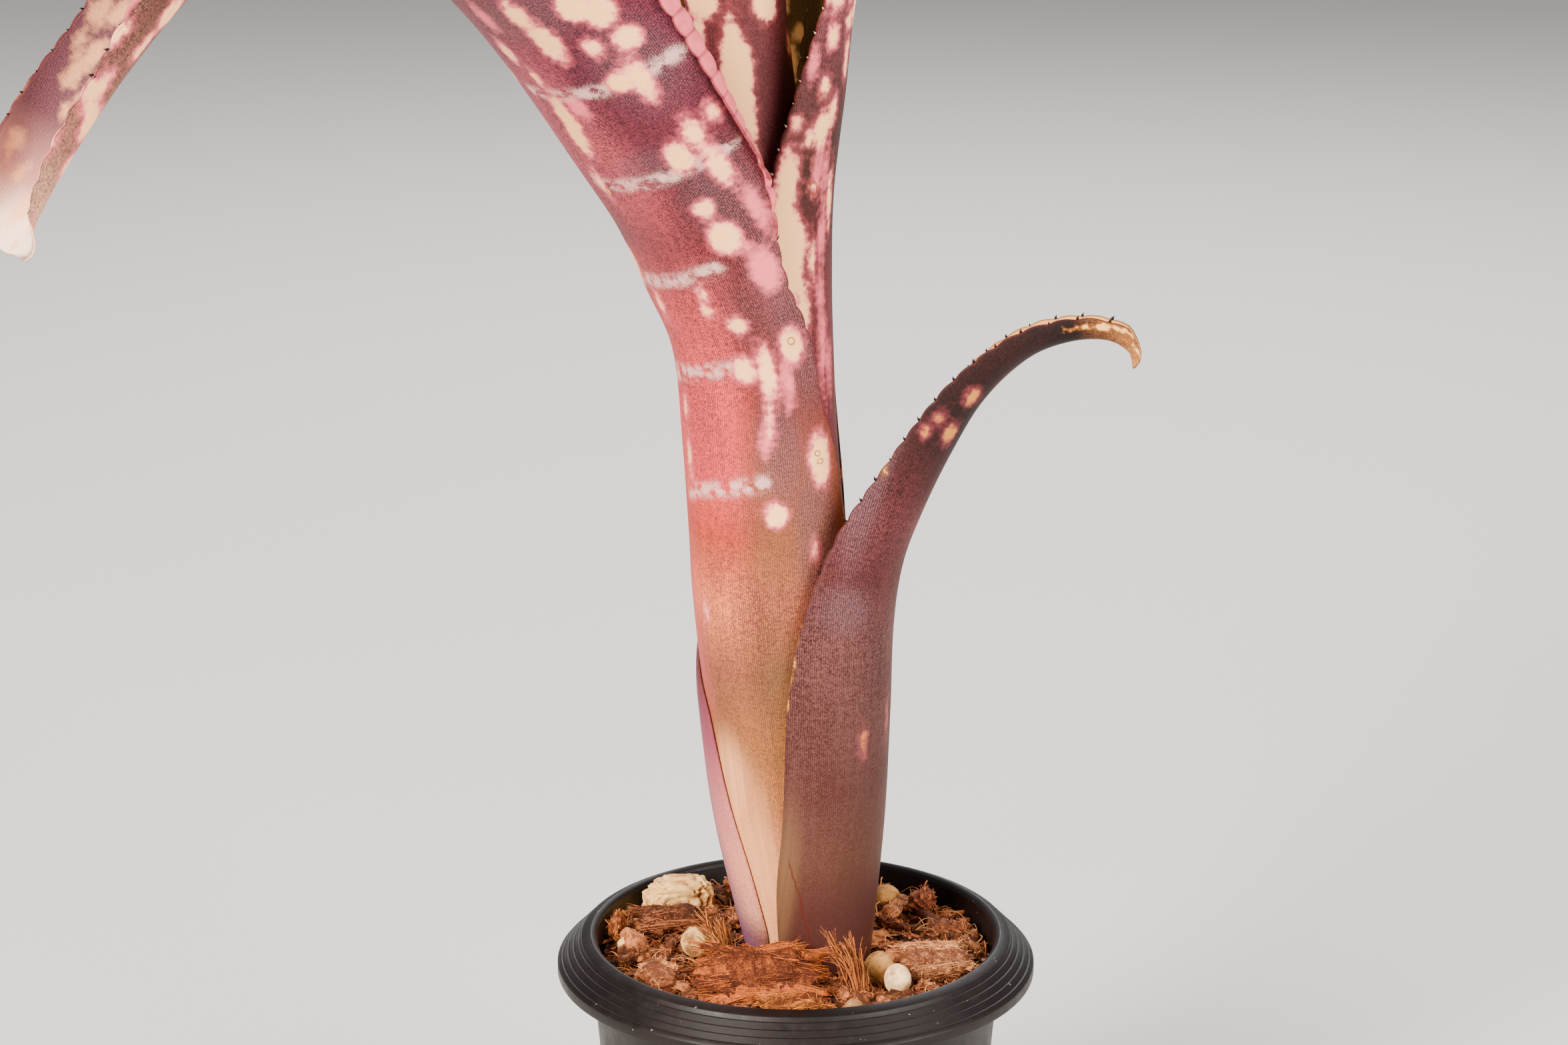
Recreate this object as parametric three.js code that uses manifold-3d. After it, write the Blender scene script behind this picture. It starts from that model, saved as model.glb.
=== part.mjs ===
// A potted billbergia: strap leaves rolled into one leaning tube, in a black nursery pot with a ribbed
// lip, in a mix of coconut husk and pumice.
// Millimetres, +Z up. The origin is the middle of the pot's flat underside, and -Y is the front.

import * as THREE from 'three';
import { ConvexGeometry } from 'three/addons/geometries/ConvexGeometry.js';
import { mergeVertices } from 'three/addons/utils/BufferGeometryUtils.js';
import Module from 'manifold-3d';

const wasm = await Module();
wasm.setup();

// Pot
const POT_HEIGHT = 81;
const BASE_RADIUS = 32;
const BASE_BEVEL = 1;
const WALL = 1.2;
const FLOOR = 1.6;
const FLOOR_FILLET = 0.7;
const INNER_EDGE_RADIUS = 37.5;
const INNER_EDGE_HEIGHT = 80;
const CREST_RADIUS = 38.6;
const LAND_RADIUS = 40.4;
const LAND_DROP = 0.8;
const LIP_RADIUS = 45;
const LIP_ROOT = 75;
const LIP_UNDERSIDE = 77.4;
const SKIRT_TOP = 75.5;
const SKIRT_BOTTOM = 73.4;
const SKIRT_THICKNESS = 1.6;
const GROOVES = 4;
const GROOVE_PITCH = 1.05;
const GROOVE_STEP = 0.2;
const GROOVE_DEPTH = 0.4;
const DRAIN_HOLES = 8;
const DRAIN_RING_RADIUS = 20;
const DRAIN_HOLE_RADIUS = 3;
const POT_SIDES = 48;

// Potting mix
const GAP = 0.35;
const MIX_LEVEL = 75.5;
const MIX_RELIEF = 1.1;
const RELIEF_WAVE = 2.5;
const HOLE_RADIUS = 13.6;
const HOLE_FLOOR = 50;
const MIX_SIDES = 36;
const MIX_RINGS = 4;
const SMALL_CHIPS = 26;
const SMALL_CHIP = { least: [4, 1.6, 1.4], spread: [4, 1.8, 1.4] };

// Tube of leaves
const AXIS_X = 1.4;
const LEAN = -0.075;
const LEAF_FOOT = 71;
const LAYER = 1.45;
const BLADE = 0.75;
const MARGIN = 0.65;
const SHEATH_SPACING = 12.5;
const LEVEL_ROWS_TO = 120;
const SQUARE_ROWS_FROM = 150;

// Margin teeth: each lobe swells, then ends in an upward tooth
const TOOTH_SPACING = 9;
const LOBE = 0.4;
const LOBE_AT = 0.5;
const TOOTH = 1;
const TOOTH_AT = 0.93;
const REFLEX_RAMP = 40;

// Radius of the front leaf's outer face up the tube: [radius, height]
const TUBE = [
  [8.6, 71], [9, 76], [10.2, 82], [13.5, 104], [14.7, 125],
  [15.4, 147], [15.1, 160], [14.9, 177], [15.2, 193],
];

// Each leaf's spine past the tube is [out from the axis, up, radius across], and its two half widths
// are [length from the foot, width round the leaf]. Azimuths are in degrees, with the front at 270.
const LEAVES = [
  {
    name: 'leaf_front',
    azimuth: 228,
    layer: 0,
    tubeTop: 193,
    spine: [
      [19, 204, 18.8], [25, 216.5, 18.8], [34, 229.5, 20], [46, 246.5, 22.4],
      [58, 260, 22.4], [74.7, 274.4, 20], [93.3, 280.8, 16], [108, 279.2, 12],
      [121.8, 272.6, 10], [137.6, 260.6, 7.6], [151.6, 247, 5.6], [159.8, 237.2, 5.4],
    ],
    left: [
      [0, 24], [30, 32], [80, 30], [110, 25], [125, 22], [150, 21],
      [220, 24], [260, 17.5], [290, 10.5], [325, 12.5], [350, 1.5],
    ],
    right: [
      [0, 24], [30, 33], [76, 34], [92, 28], [105, 26.5], [118, 23], [134, 21.5],
      [160, 25.3], [220, 28.5], [260, 18], [300, 12.2], [325, 8], [350, 1.5],
    ],
    teethFrom: 118,
    reflex: 1.6,
    columns: 12,
    colour: 0x8a4a55,
  },
  {
    name: 'leaf_right',
    azimuth: 358,
    layer: -1,
    tubeTop: 177,
    spine: [
      [13.9, 193, 13.6], [14.6, 207, 13.7], [16.1, 223, 13.2], [19.3, 240, 13],
      [22.4, 257, 13.5], [27.5, 275, 13.5], [33, 292, 12], [40, 306, 9],
    ],
    left: [
      [0, 20], [40, 24], [110, 22], [135, 18.5], [150, 18.5],
      [168, 16], [190, 11.5], [215, 8], [243, 1.5],
    ],
    right: [[0, 20], [40, 24], [110, 22], [140, 17], [190, 15], [215, 11], [243, 1.5]],
    teethFrom: 130,
    reflex: 0,
    columns: 10,
    colour: 0x7a4048,
  },
  {
    name: 'leaf_centre',
    azimuth: 285,
    layer: -2,
    tubeTop: 193,
    spine: [
      [11.9, 207, 11.9], [11.4, 223, 11.4], [10.8, 240, 10.6], [10, 257, 10],
      [10.3, 275, 11], [12.5, 292, 9.5], [15, 306, 7],
    ],
    left: [[0, 16], [60, 18], [150, 10], [168, 6], [186, 11], [200, 14.5], [215, 10], [238, 1.5]],
    right: [[0, 16], [60, 20], [150, 15], [190, 14], [215, 10], [238, 1.5]],
    teethFrom: 130,
    reflex: 0,
    columns: 10,
    colour: 0xb98a80,
  },
  {
    name: 'leaf_back',
    azimuth: 82,
    layer: 1.12,
    tubeTop: 177,
    spine: [
      [16.8, 193, 16.8], [17.6, 207, 17.6], [19.2, 223, 18.2], [21.5, 240, 18.5],
      [24.5, 257, 18.5], [29, 275, 18], [35, 290, 15], [42, 302, 11],
    ],
    left: [
      [0, 24], [14, 31], [33, 35], [54, 27], [75, 19], [130, 18], [190, 18], [215, 12], [240, 1.5],
    ],
    right: [
      [0, 24], [14, 32.3], [33, 36.6], [54, 34.4], [75, 19.6], [110, 17.5],
      [130, 17], [190, 19], [215, 12], [240, 1.5],
    ],
    teethFrom: 130,
    reflex: 0,
    columns: 12,
    colour: 0x6d5870,
  },
  {
    name: 'leaf_heart',
    azimuth: 130,
    layer: -3,
    tubeTop: 193,
    spine: [[9.6, 210, 9.6], [8.6, 230, 8.6], [8, 250, 8], [8, 268, 7], [8.6, 284, 5]],
    left: [[0, 12], [60, 18], [150, 13], [190, 9], [214, 1.2]],
    right: [[0, 12], [60, 18], [150, 13], [190, 9], [214, 1.2]],
    teethFrom: 150,
    reflex: 0,
    columns: 8,
    colour: 0x8d6f5c,
  },
  {
    name: 'leaf_outer',
    azimuth: 350,
    spine: [
      [11.9, 71, 11.9], [12.5, 76, 12.5], [13.6, 82.5, 13.5], [17.1, 104, 16.4],
      [19.6, 125, 16.4], [21.4, 142, 16], [24, 154, 14], [28.2, 164, 11],
      [34.2, 175.4, 8.6], [41, 186, 6.8], [49.4, 194, 5.2], [57, 197.4, 4],
      [63.6, 198, 3], [67.4, 196, 2.2], [68, 193, 1.6],
    ],
    left: [
      [0, 21], [30, 26], [55, 26], [72, 24], [85, 20], [100, 15], [115, 11.5],
      [130, 8.5], [145, 6], [158, 3.5], [168, 1],
    ],
    right: [
      [0, 21], [30, 24], [55, 23], [72, 20], [85, 17], [100, 13], [115, 10],
      [130, 7.5], [145, 5], [158, 3.5], [168, 1],
    ],
    teethFrom: 78,
    reflex: 0,
    columns: 10,
    colour: 0x6e4048,
  },
];
const SPINE_SAMPLES = 600;
const SLOPE_REACH = 3;

// Stock that the leaves stand on, then its core inside the youngest leaf: [radius, height]
const STOCK = [
  [0, 54], [3.2, 54.5], [5, 58], [8, 64], [11.4, 68],
  [11.8, LEAF_FOOT - GAP], [2.9, LEAF_FOOT - GAP], [2.8, 78], [0, 79],
];
const STOCK_SIDES = 24;
const ROOT_STUBS = 6;
const ROOT_STUB = { length: 11, radius: 1.3, tipRadius: 0.6, sides: 6, tilt: 42, out: 7.2, height: 58.6 };

// Large pieces on the mix: at is the middle, size is length, width and height, and the turns are degrees
const HUSK = [
  {
    name: 'chip_front', at: [-6.9, -21, 80.2], size: [25, 13, 4.6],
    yaw: 4, tilt: 33, strips: 6, colour: 0xa9552c,
  },
  {
    name: 'chip_front_low', at: [0.4, -30.8, 77.8], size: [13.5, 6, 4.4],
    yaw: 8, tilt: 8, strips: 4, colour: 0xb06a34,
  },
  {
    name: 'chip_left_front', at: [-25.6, -18, 77.8], size: [10.5, 7.5, 6],
    yaw: -62, tilt: 10, strips: 4, colour: 0xa8623a,
  },
  {
    name: 'chip_left', at: [-24, 10.4, 78.6], size: [14.5, 7.5, 4.4],
    yaw: 8, tilt: 22, strips: 4, colour: 0x7d4526,
  },
  {
    name: 'chip_left_edge', at: [-34, 7, 78.6], size: [4.8, 2.8, 5.6],
    yaw: 60, tilt: 0, strips: 2, colour: 0x9c5f38,
  },
  {
    name: 'chip_right', at: [26, -10.5, 77.6], size: [14.5, 10.5, 6.4],
    yaw: 18, tilt: 12, strips: 5, colour: 0xb87a52,
  },
  {
    name: 'chip_right_back', at: [24.5, 20, 78.6], size: [8, 4.5, 4.6],
    yaw: 70, tilt: 24, strips: 3, colour: 0xa4643c,
  },
  {
    name: 'chip_right_far', at: [29.5, 8.8, 77.4], size: [7.5, 4.6, 3.6],
    yaw: -20, tilt: 14, strips: 3, colour: 0x8a5230,
  },
  {
    name: 'stick_left', at: [-30.6, -5.6, 77.6], size: [8.5, 2.4, 2.4],
    yaw: 42, tilt: 0, strips: 2, colour: 0x7f4a2a,
  },
  {
    name: 'stick_right', at: [18.4, 9.8, 78], size: [8, 2.6, 2.4],
    yaw: -42, tilt: 0, strips: 2, colour: 0xa55c34,
  },
  {
    name: 'strip_right', at: [33, -1.2, 78.2], size: [8, 2.2, 2.4],
    yaw: -68, tilt: 0, strips: 2, colour: 0xb98660,
  },
];
const STRIP = { overlap: 1.35, shortest: 0.78, thinnest: 0.62, thickness: 0.3, stagger: 0.16 };
const JITTER = 0.16;
const LENGTH_JITTER = 0.35;

const TUFTS = [
  {
    name: 'tuft_front', at: [11.6, -23, 74.6],
    height: 15, spread: 5.4, lean: [-3.4, 2.6], fibres: 7, colour: 0xa8703f,
  },
  {
    name: 'tuft_left', at: [-12.6, -5.6, 75],
    height: 11.5, spread: 5, lean: [-2.6, 1.4], fibres: 6, colour: 0xb0713c,
  },
];
const TUFT_FOOT = [3.6, 3, 3.4];
const FIBRE = { width: 1, depth: 0.8, spacing: 1.2, shortest: 0.72, slimming: 0.45, weave: 0.5 };

const STONES = [
  {
    name: 'pumice_large', at: [-23, 20, 79.4], size: [14.5, 9.6, 9],
    yaw: 10, rough: 0.08, detail: 2, colour: 0xd8c19a,
  },
  {
    name: 'pebble_brown', at: [-18.6, -3, 79.2], size: [6, 5.6, 6.4],
    yaw: 20, rough: 0.05, detail: 1, colour: 0xb09a78,
  },
  {
    name: 'pebble_left', at: [-31.4, 1.8, 77.2], size: [5, 3.6, 3],
    yaw: 10, rough: 0.06, detail: 1, colour: 0xd6c8a8,
  },
  {
    name: 'pebble_olive', at: [15.4, -14.4, 78.6], size: [6.2, 5.4, 7.4],
    yaw: 0, rough: 0.05, detail: 1, colour: 0x9a8256,
  },
  {
    name: 'pebble_white', at: [18.8, -19.6, 79], size: [5.2, 4.6, 6.6],
    yaw: -10, rough: 0.06, detail: 1, colour: 0xe6dac2,
  },
  {
    name: 'pebble_small', at: [10.4, -30.6, 78], size: [3.8, 3.2, 3.2],
    yaw: 0, rough: 0.06, detail: 1, colour: 0xd9ccb0,
  },
  {
    name: 'pebble_yellow', at: [17.6, 22.6, 78.6], size: [6, 5, 5],
    yaw: 30, rough: 0.06, detail: 1, colour: 0xb59a5a,
  },
];

const ROUGHNESS = { leaf: 0.55, stem: 0.85, pot: 0.45, husk: 0.9, fibre: 0.9, stone: 0.8, mix: 0.95 };
const SEEDS = { husk: 100, fibre: 200, stone: 300, mix: 7 };
const GOLDEN_TURN = 0.618;

const radians = THREE.MathUtils.degToRad;
const { lerp, clamp, smoothstep } = THREE.MathUtils;
const FOOT_X = AXIS_X + LEAN * (LEAF_FOOT - INNER_EDGE_HEIGHT);

// A repeatable run of random numbers from 0 to 1
function seeded(seed) {
  let state = seed >>> 0;
  return () => {
    state = (state + 0x6d2b79f5) >>> 0;
    let t = Math.imul(state ^ (state >>> 15), 1 | state);
    t = (t + Math.imul(t ^ (t >>> 7), 61 | t)) ^ t;
    return ((t ^ (t >>> 14)) >>> 0) / 4294967296;
  };
}

// Solids and geometries

function bareGeometry(geometry) {
  return mergeVertices(geometry.deleteAttribute('normal').deleteAttribute('uv'), 1e-5);
}

function toSolid(geometry) {
  const merged = bareGeometry(geometry.clone());
  return new wasm.Manifold(new wasm.Mesh({
    numProp: 3,
    vertProperties: new Float32Array(merged.attributes.position.array),
    triVerts: new Uint32Array(merged.index.array),
  }));
}

function toGeometry(solid) {
  const mesh = solid.getMesh();
  const geometry = new THREE.BufferGeometry();
  geometry.setAttribute('position', new THREE.BufferAttribute(new Float32Array(mesh.vertProperties), 3));
  geometry.setIndex(new THREE.BufferAttribute(new Uint32Array(mesh.triVerts), 1));
  geometry.computeVertexNormals();
  return geometry;
}

function hullOf(geometry) {
  const place = geometry.attributes.position;
  const corners = [];
  for (let i = 0; i < place.count; i += 1) corners.push(new THREE.Vector3().fromBufferAttribute(place, i));
  return toSolid(new ConvexGeometry(corners));
}

function closedGeometry(points, faces) {
  const geometry = new THREE.BufferGeometry();
  geometry.setAttribute('position', new THREE.Float32BufferAttribute(points.flat(), 3));
  let volume = 0;
  for (const corners of faces) {
    const [p, q, r] = corners.map((corner) => new THREE.Vector3(...points[corner]));
    volume += p.dot(q.cross(r));
  }
  const outward = volume > 0 ? faces : faces.map(([a, b, c]) => [a, c, b]);
  geometry.setIndex(outward.flat());
  geometry.computeVertexNormals();
  return geometry;
}

function meshOf(name, geometry, colour, roughness) {
  const material = new THREE.MeshStandardMaterial({ color: colour, roughness, metalness: 0 });
  const mesh = new THREE.Mesh(geometry, material);
  mesh.name = name;
  return mesh;
}

// A smooth curve through [x, value] points that never overshoots them
function profile(points, x) {
  const last = points.length - 1;
  const at = clamp(x, points[0][0], points[last][0]);
  const slopeAfter = (i) => (points[i + 1][1] - points[i][1]) / (points[i + 1][0] - points[i][0]);
  const tangent = (i) => {
    if (i === 0) return slopeAfter(0);
    if (i === last) return slopeAfter(last - 1);
    const [a, b] = [slopeAfter(i - 1), slopeAfter(i)];
    return a * b <= 0 ? 0 : (2 * a * b) / (a + b);
  };
  let i = 0;
  while (i < last - 1 && at > points[i + 1][0]) i += 1;
  const step = points[i + 1][0] - points[i][0];
  const t = (at - points[i][0]) / step;
  const rise = points[i + 1][1] - points[i][1];
  return points[i][1] + rise * t * t * (3 - 2 * t)
    + step * (t * (1 - t) * (1 - t) * tangent(i) - t * t * (1 - t) * tangent(i + 1));
}

// Leaves

function spineOf(leaf) {
  const tube = leaf.layer === undefined ? [] : TUBE.filter(([, up]) => up <= leaf.tubeTop)
    .map(([radius, up]) => [radius + leaf.layer * LAYER, up, radius + leaf.layer * LAYER]);
  const knots = [...tube, ...leaf.spine].map((knot) => new THREE.Vector3(...knot));
  const curve = new THREE.CatmullRomCurve3(knots, false, 'catmullrom', 0.5);
  const samples = [];
  let along = 0;
  for (let i = 0; i <= SPINE_SAMPLES; i += 1) {
    const point = curve.getPoint(i / SPINE_SAMPLES);
    if (i > 0) along += Math.hypot(point.x - samples[i - 1].out, point.y - samples[i - 1].up);
    samples.push({ along, out: point.x, up: point.y, radius: point.z });
  }
  return samples;
}

function spineAt(samples, along) {
  let i = 1;
  while (i < samples.length - 1 && samples[i].along < along) i += 1;
  const [a, b] = [samples[i - 1], samples[i]];
  const t = (along - a.along) / (b.along - a.along);
  const before = samples[Math.max(0, i - 1 - SLOPE_REACH)];
  const after = samples[Math.min(samples.length - 1, i + SLOPE_REACH)];
  return {
    out: lerp(a.out, b.out, t),
    up: lerp(a.up, b.up, t),
    radius: lerp(a.radius, b.radius, t),
    slope: new THREE.Vector2(after.out - before.out, after.up - before.up).normalize(),
  };
}

// The leaf's outer point and outward normal at a length from the foot and an arc round from the midrib.
// The sheath's rows are level, so that the leaves nest, and the blade's rows stand square to its spine.
function leafPoint(leaf, samples, along, arc, proud) {
  const spine = spineAt(samples, along);
  const azimuth = radians(leaf.azimuth);
  const level = new THREE.Vector3(Math.cos(azimuth), Math.sin(azimuth), 0);
  const across = new THREE.Vector3(-Math.sin(azimuth), Math.cos(azimuth), 0);
  const up = new THREE.Vector3(0, 0, 1);
  const square = smoothstep(spine.up, LEVEL_ROWS_TO, SQUARE_ROWS_FROM);
  const outward = level.clone().multiplyScalar(lerp(1, spine.slope.y, square))
    .addScaledVector(up, -spine.slope.x * square).normalize();
  const angle = arc / spine.radius;
  const normal = across.multiplyScalar(Math.sin(angle)).addScaledVector(outward, Math.cos(angle));
  const point = level.multiplyScalar(spine.out).addScaledVector(up, spine.up)
    .addScaledVector(outward, -spine.radius)
    .addScaledVector(normal, spine.radius + proud);
  return { point, normal };
}

function leanWithTube(point) {
  point.x += AXIS_X + LEAN * (point.z - INNER_EDGE_HEIGHT);
  return point;
}

// Rows are far apart up the sheath and one tooth apart above it
function rowsOf(leaf, length) {
  const sheathRows = Math.round(leaf.teethFrom / SHEATH_SPACING);
  const bladeRows = Math.round((length - leaf.teethFrom) / TOOTH_SPACING);
  const rows = [];
  for (let i = 0; i < sheathRows; i += 1) rows.push(lerp(0, leaf.teethFrom, i / sheathRows));
  for (let i = 0; i <= bladeRows; i += 1) rows.push(lerp(leaf.teethFrom, length, i / bladeRows));
  return rows;
}

function leafGeometry(leaf) {
  const samples = spineOf(leaf);
  const length = samples[samples.length - 1].along;
  const rows = rowsOf(leaf, length);
  const points = [];
  const faces = [];

  // Adds one point of the leaf as a pair, outer face then inner face
  const addPair = (along, side, share, beyond, thickness) => {
    const width = profile(side < 0 ? leaf.left : leaf.right, along);
    const onRightMargin = side > 0 && share === 1;
    const proud = onRightMargin ? leaf.reflex * clamp((along - leaf.teethFrom) / REFLEX_RAMP, 0, 1) : 0;
    const { point, normal } = leafPoint(leaf, samples, along, side * (share * width + beyond), proud);
    const inner = point.clone().addScaledVector(normal, -thickness);
    points.push(leanWithTube(point).toArray(), leanWithTube(inner).toArray());
    return points.length - 2;
  };
  // Both faces get the same triangles, with the inner ones turned over
  const addTriangle = (a, b, c) => {
    faces.push([a, b, c], [a + 1, c + 1, b + 1]);
  };
  const addEdge = (a, b) => {
    faces.push([a, b, a + 1], [b, b + 1, a + 1]);
  };

  const half = leaf.columns / 2;
  const grid = rows.map((along) => {
    const row = [];
    for (let j = 0; j <= leaf.columns; j += 1) {
      const share = Math.abs(j - half) / half;
      row.push(addPair(along, j < half ? -1 : 1, share, 0, lerp(BLADE, MARGIN, share)));
    }
    return row;
  });

  // Lobe and tooth tip between two rows of one margin
  const toothOf = (i, side) => {
    if (rows[i] < leaf.teethFrom || i === rows.length - 2) return [];
    return [
      addPair(lerp(rows[i], rows[i + 1], LOBE_AT), side, 1, LOBE, MARGIN),
      addPair(lerp(rows[i], rows[i + 1], TOOTH_AT), side, 1, TOOTH, MARGIN / 2),
    ];
  };

  const inside = leaf.columns - 1;
  for (let i = 0; i < rows.length - 1; i += 1) {
    const [low, high] = [grid[i], grid[i + 1]];
    for (let j = 1; j < inside; j += 1) {
      addTriangle(low[j], low[j + 1], high[j + 1]);
      addTriangle(low[j], high[j + 1], high[j]);
    }
    const leftEdge = [low[0], ...toothOf(i, -1), high[0]];
    const rightEdge = [low[leaf.columns], ...toothOf(i, 1), high[leaf.columns]];
    for (let k = 0; k < leftEdge.length - 1; k += 1) {
      addTriangle(low[1], leftEdge[k + 1], leftEdge[k]);
      addEdge(leftEdge[k], leftEdge[k + 1]);
    }
    addTriangle(low[1], high[1], high[0]);
    for (let k = 0; k < rightEdge.length - 1; k += 1) {
      addTriangle(low[inside], rightEdge[k], rightEdge[k + 1]);
      addEdge(rightEdge[k + 1], rightEdge[k]);
    }
    addTriangle(low[inside], high[leaf.columns], high[inside]);
  }
  const [foot, end] = [grid[0], grid[rows.length - 1]];
  for (let j = 0; j < leaf.columns; j += 1) {
    addEdge(foot[j + 1], foot[j]);
    addEdge(end[j], end[j + 1]);
  }
  return closedGeometry(points, faces);
}

function makeLeaves() {
  return LEAVES.map((leaf) => meshOf(leaf.name, leafGeometry(leaf), leaf.colour, ROUGHNESS.leaf));
}

// Stem

function makeStem() {
  const outline = STOCK.map(([radius, height]) => new THREE.Vector2(radius, height));
  let solid = toSolid(new THREE.LatheGeometry(outline, STOCK_SIDES).rotateX(Math.PI / 2));
  const { length, radius, tipRadius, sides, tilt, out, height } = ROOT_STUB;
  for (let i = 0; i < ROOT_STUBS; i += 1) {
    const stub = new THREE.CylinderGeometry(radius, tipRadius, length, sides).rotateX(Math.PI / 2);
    stub.rotateY(radians(tilt)).translate(out, 0, height).rotateZ((2 * Math.PI * (i + 0.25)) / ROOT_STUBS);
    solid = solid.add(toSolid(stub));
  }
  const geometry = toGeometry(solid).translate(FOOT_X, 0, 0);
  return meshOf('stem', geometry, 0x6b4a32, ROUGHNESS.stem);
}

// Pot

function potOutline() {
  const outerWall = INNER_EDGE_RADIUS + WALL;
  const outline = [
    [0, 0],
    [BASE_RADIUS - BASE_BEVEL, 0],
    [BASE_RADIUS, BASE_BEVEL],
    [outerWall, LIP_ROOT],
    [outerWall + WALL / 2, LIP_UNDERSIDE],
    [LIP_RADIUS - SKIRT_THICKNESS, SKIRT_TOP - WALL],
    [LIP_RADIUS - SKIRT_THICKNESS / 2, SKIRT_BOTTOM],
    [LIP_RADIUS, SKIRT_BOTTOM + GROOVE_STEP],
    [LIP_RADIUS, SKIRT_TOP],
  ];
  const landEnd = POT_HEIGHT - LAND_DROP;
  for (let i = GROOVES - 1; i >= 0; i -= 1) {
    const radius = LAND_RADIUS + (i + 0.5) * GROOVE_PITCH;
    const height = landEnd - (i + 0.5) * GROOVE_PITCH;
    outline.push([radius + GROOVE_STEP, height - GROOVE_STEP], [radius - GROOVE_STEP / 2, height - GROOVE_DEPTH]);
  }
  outline.push(
    [LAND_RADIUS, landEnd],
    [CREST_RADIUS, POT_HEIGHT],
    [INNER_EDGE_RADIUS + GROOVE_DEPTH, POT_HEIGHT - GROOVE_DEPTH],
    [INNER_EDGE_RADIUS, INNER_EDGE_HEIGHT],
    [BASE_RADIUS - WALL, FLOOR + FLOOR_FILLET],
    [BASE_RADIUS - WALL - FLOOR_FILLET, FLOOR],
    [0, FLOOR],
  );
  return outline.map(([radius, height]) => new THREE.Vector2(radius, height));
}

function makePot() {
  let solid = toSolid(new THREE.LatheGeometry(potOutline(), POT_SIDES).rotateX(Math.PI / 2));
  for (let i = 0; i < DRAIN_HOLES; i += 1) {
    const drill = new THREE.CylinderGeometry(DRAIN_HOLE_RADIUS, DRAIN_HOLE_RADIUS, 3 * FLOOR, 12);
    drill.rotateX(Math.PI / 2).translate(DRAIN_RING_RADIUS, 0, FLOOR / 2);
    drill.rotateZ((2 * Math.PI * i) / DRAIN_HOLES);
    solid = solid.subtract(toSolid(drill));
  }
  return meshOf('pot', toGeometry(solid), 0x1b1b1d, ROUGHNESS.pot);
}

// Pieces on the mix. Each is made twice: as it shows, and grown by the gap to clear its seat in the mix.

function moveCorners(geometry, move) {
  const place = geometry.attributes.position;
  for (let i = 0; i < place.count; i += 1) {
    place.setXYZ(i, ...move(new THREE.Vector3().fromBufferAttribute(place, i)));
  }
  return geometry;
}

function roughBox(random, [length, width, height], grow) {
  const jitters = [length * LENGTH_JITTER, width, height].map((size) => size * JITTER);
  return moveCorners(bareGeometry(new THREE.BoxGeometry(length, width, height)), (corner) => (
    corner.toArray().map((value, axis) => value + jitters[axis] * (random() - 0.5) + grow * Math.sign(value))
  ));
}

function setDown(geometry, { at, yaw, tilt = 0 }) {
  return geometry.rotateX(radians(tilt)).rotateZ(radians(yaw)).translate(...at);
}

// A husk chip is a row of fibre strips of uneven length
function huskChip(piece, random, grow) {
  const [length, width, height] = piece.size;
  const stripWidth = (width / piece.strips) * STRIP.overlap;
  let solid = null;
  for (let i = 0; i < piece.strips; i += 1) {
    const share = lerp(STRIP.shortest, 1, random());
    const thickness = height * (STRIP.thinnest + STRIP.thickness * random());
    const strip = roughBox(random, [length * share, stripWidth, thickness], grow);
    strip.translate(
      length * (1 - share) * (random() - 0.5),
      (width - stripWidth) * (i / (piece.strips - 1) - 0.5),
      height * STRIP.stagger * (random() - 0.5),
    );
    const next = toSolid(setDown(strip, piece));
    solid = solid ? solid.add(next) : next;
  }
  return solid;
}

// A tuft is a fan of upright fibres on a small foot
function tuft(piece, random, grow) {
  const [leanX, leanY] = piece.lean;
  let solid = toSolid(roughBox(random, TUFT_FOOT, grow).translate(...piece.at));
  for (let i = 0; i < piece.fibres; i += 1) {
    const share = i / (piece.fibres - 1) - 0.5;
    const height = piece.height * lerp(FIBRE.shortest, 1, random());
    const box = bareGeometry(new THREE.BoxGeometry(FIBRE.width, FIBRE.depth, height, 1, 1, 2));
    const fibre = moveCorners(box, (corner) => {
      const climb = corner.z / height + 0.5;
      const slim = 1 - FIBRE.slimming * climb;
      const fan = share * (FIBRE.spacing + piece.spread * climb);
      return [
        (corner.x + grow * Math.sign(corner.x)) * slim + fan + leanX * climb * climb,
        (corner.y + grow * Math.sign(corner.y)) * slim + FIBRE.weave * Math.sin(5 * share) + leanY * climb * climb,
        climb * height,
      ];
    });
    solid = solid.add(toSolid(fibre.translate(...piece.at)));
  }
  return solid;
}

function stone(piece, random, grow) {
  const ball = bareGeometry(new THREE.IcosahedronGeometry(0.5, piece.detail));
  const rounded = moveCorners(ball, (corner) => {
    const swell = 1 + piece.rough * (2 * random() - 1);
    return corner.toArray().map((value, axis) => value * swell * (piece.size[axis] + 2 * grow));
  });
  return toSolid(setDown(rounded, piece));
}

function makeToppings() {
  const kinds = [
    ...HUSK.map((piece, i) => [piece, huskChip, SEEDS.husk + i, ROUGHNESS.husk]),
    ...TUFTS.map((piece, i) => [piece, tuft, SEEDS.fibre + i, ROUGHNESS.fibre]),
    ...STONES.map((piece, i) => [piece, stone, SEEDS.stone + i, ROUGHNESS.stone]),
  ];
  return kinds.map(([piece, shape, seed, roughness]) => ({
    mesh: meshOf(piece.name, toGeometry(shape(piece, seeded(seed), 0)), piece.colour, roughness),
    seat: hullOf(toGeometry(shape(piece, seeded(seed), GAP))),
  }));
}

// Potting mix

function innerWallRadius(height) {
  return lerp(BASE_RADIUS - WALL, INNER_EDGE_RADIUS, (height - FLOOR) / (INNER_EDGE_HEIGHT - FLOOR));
}

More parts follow.
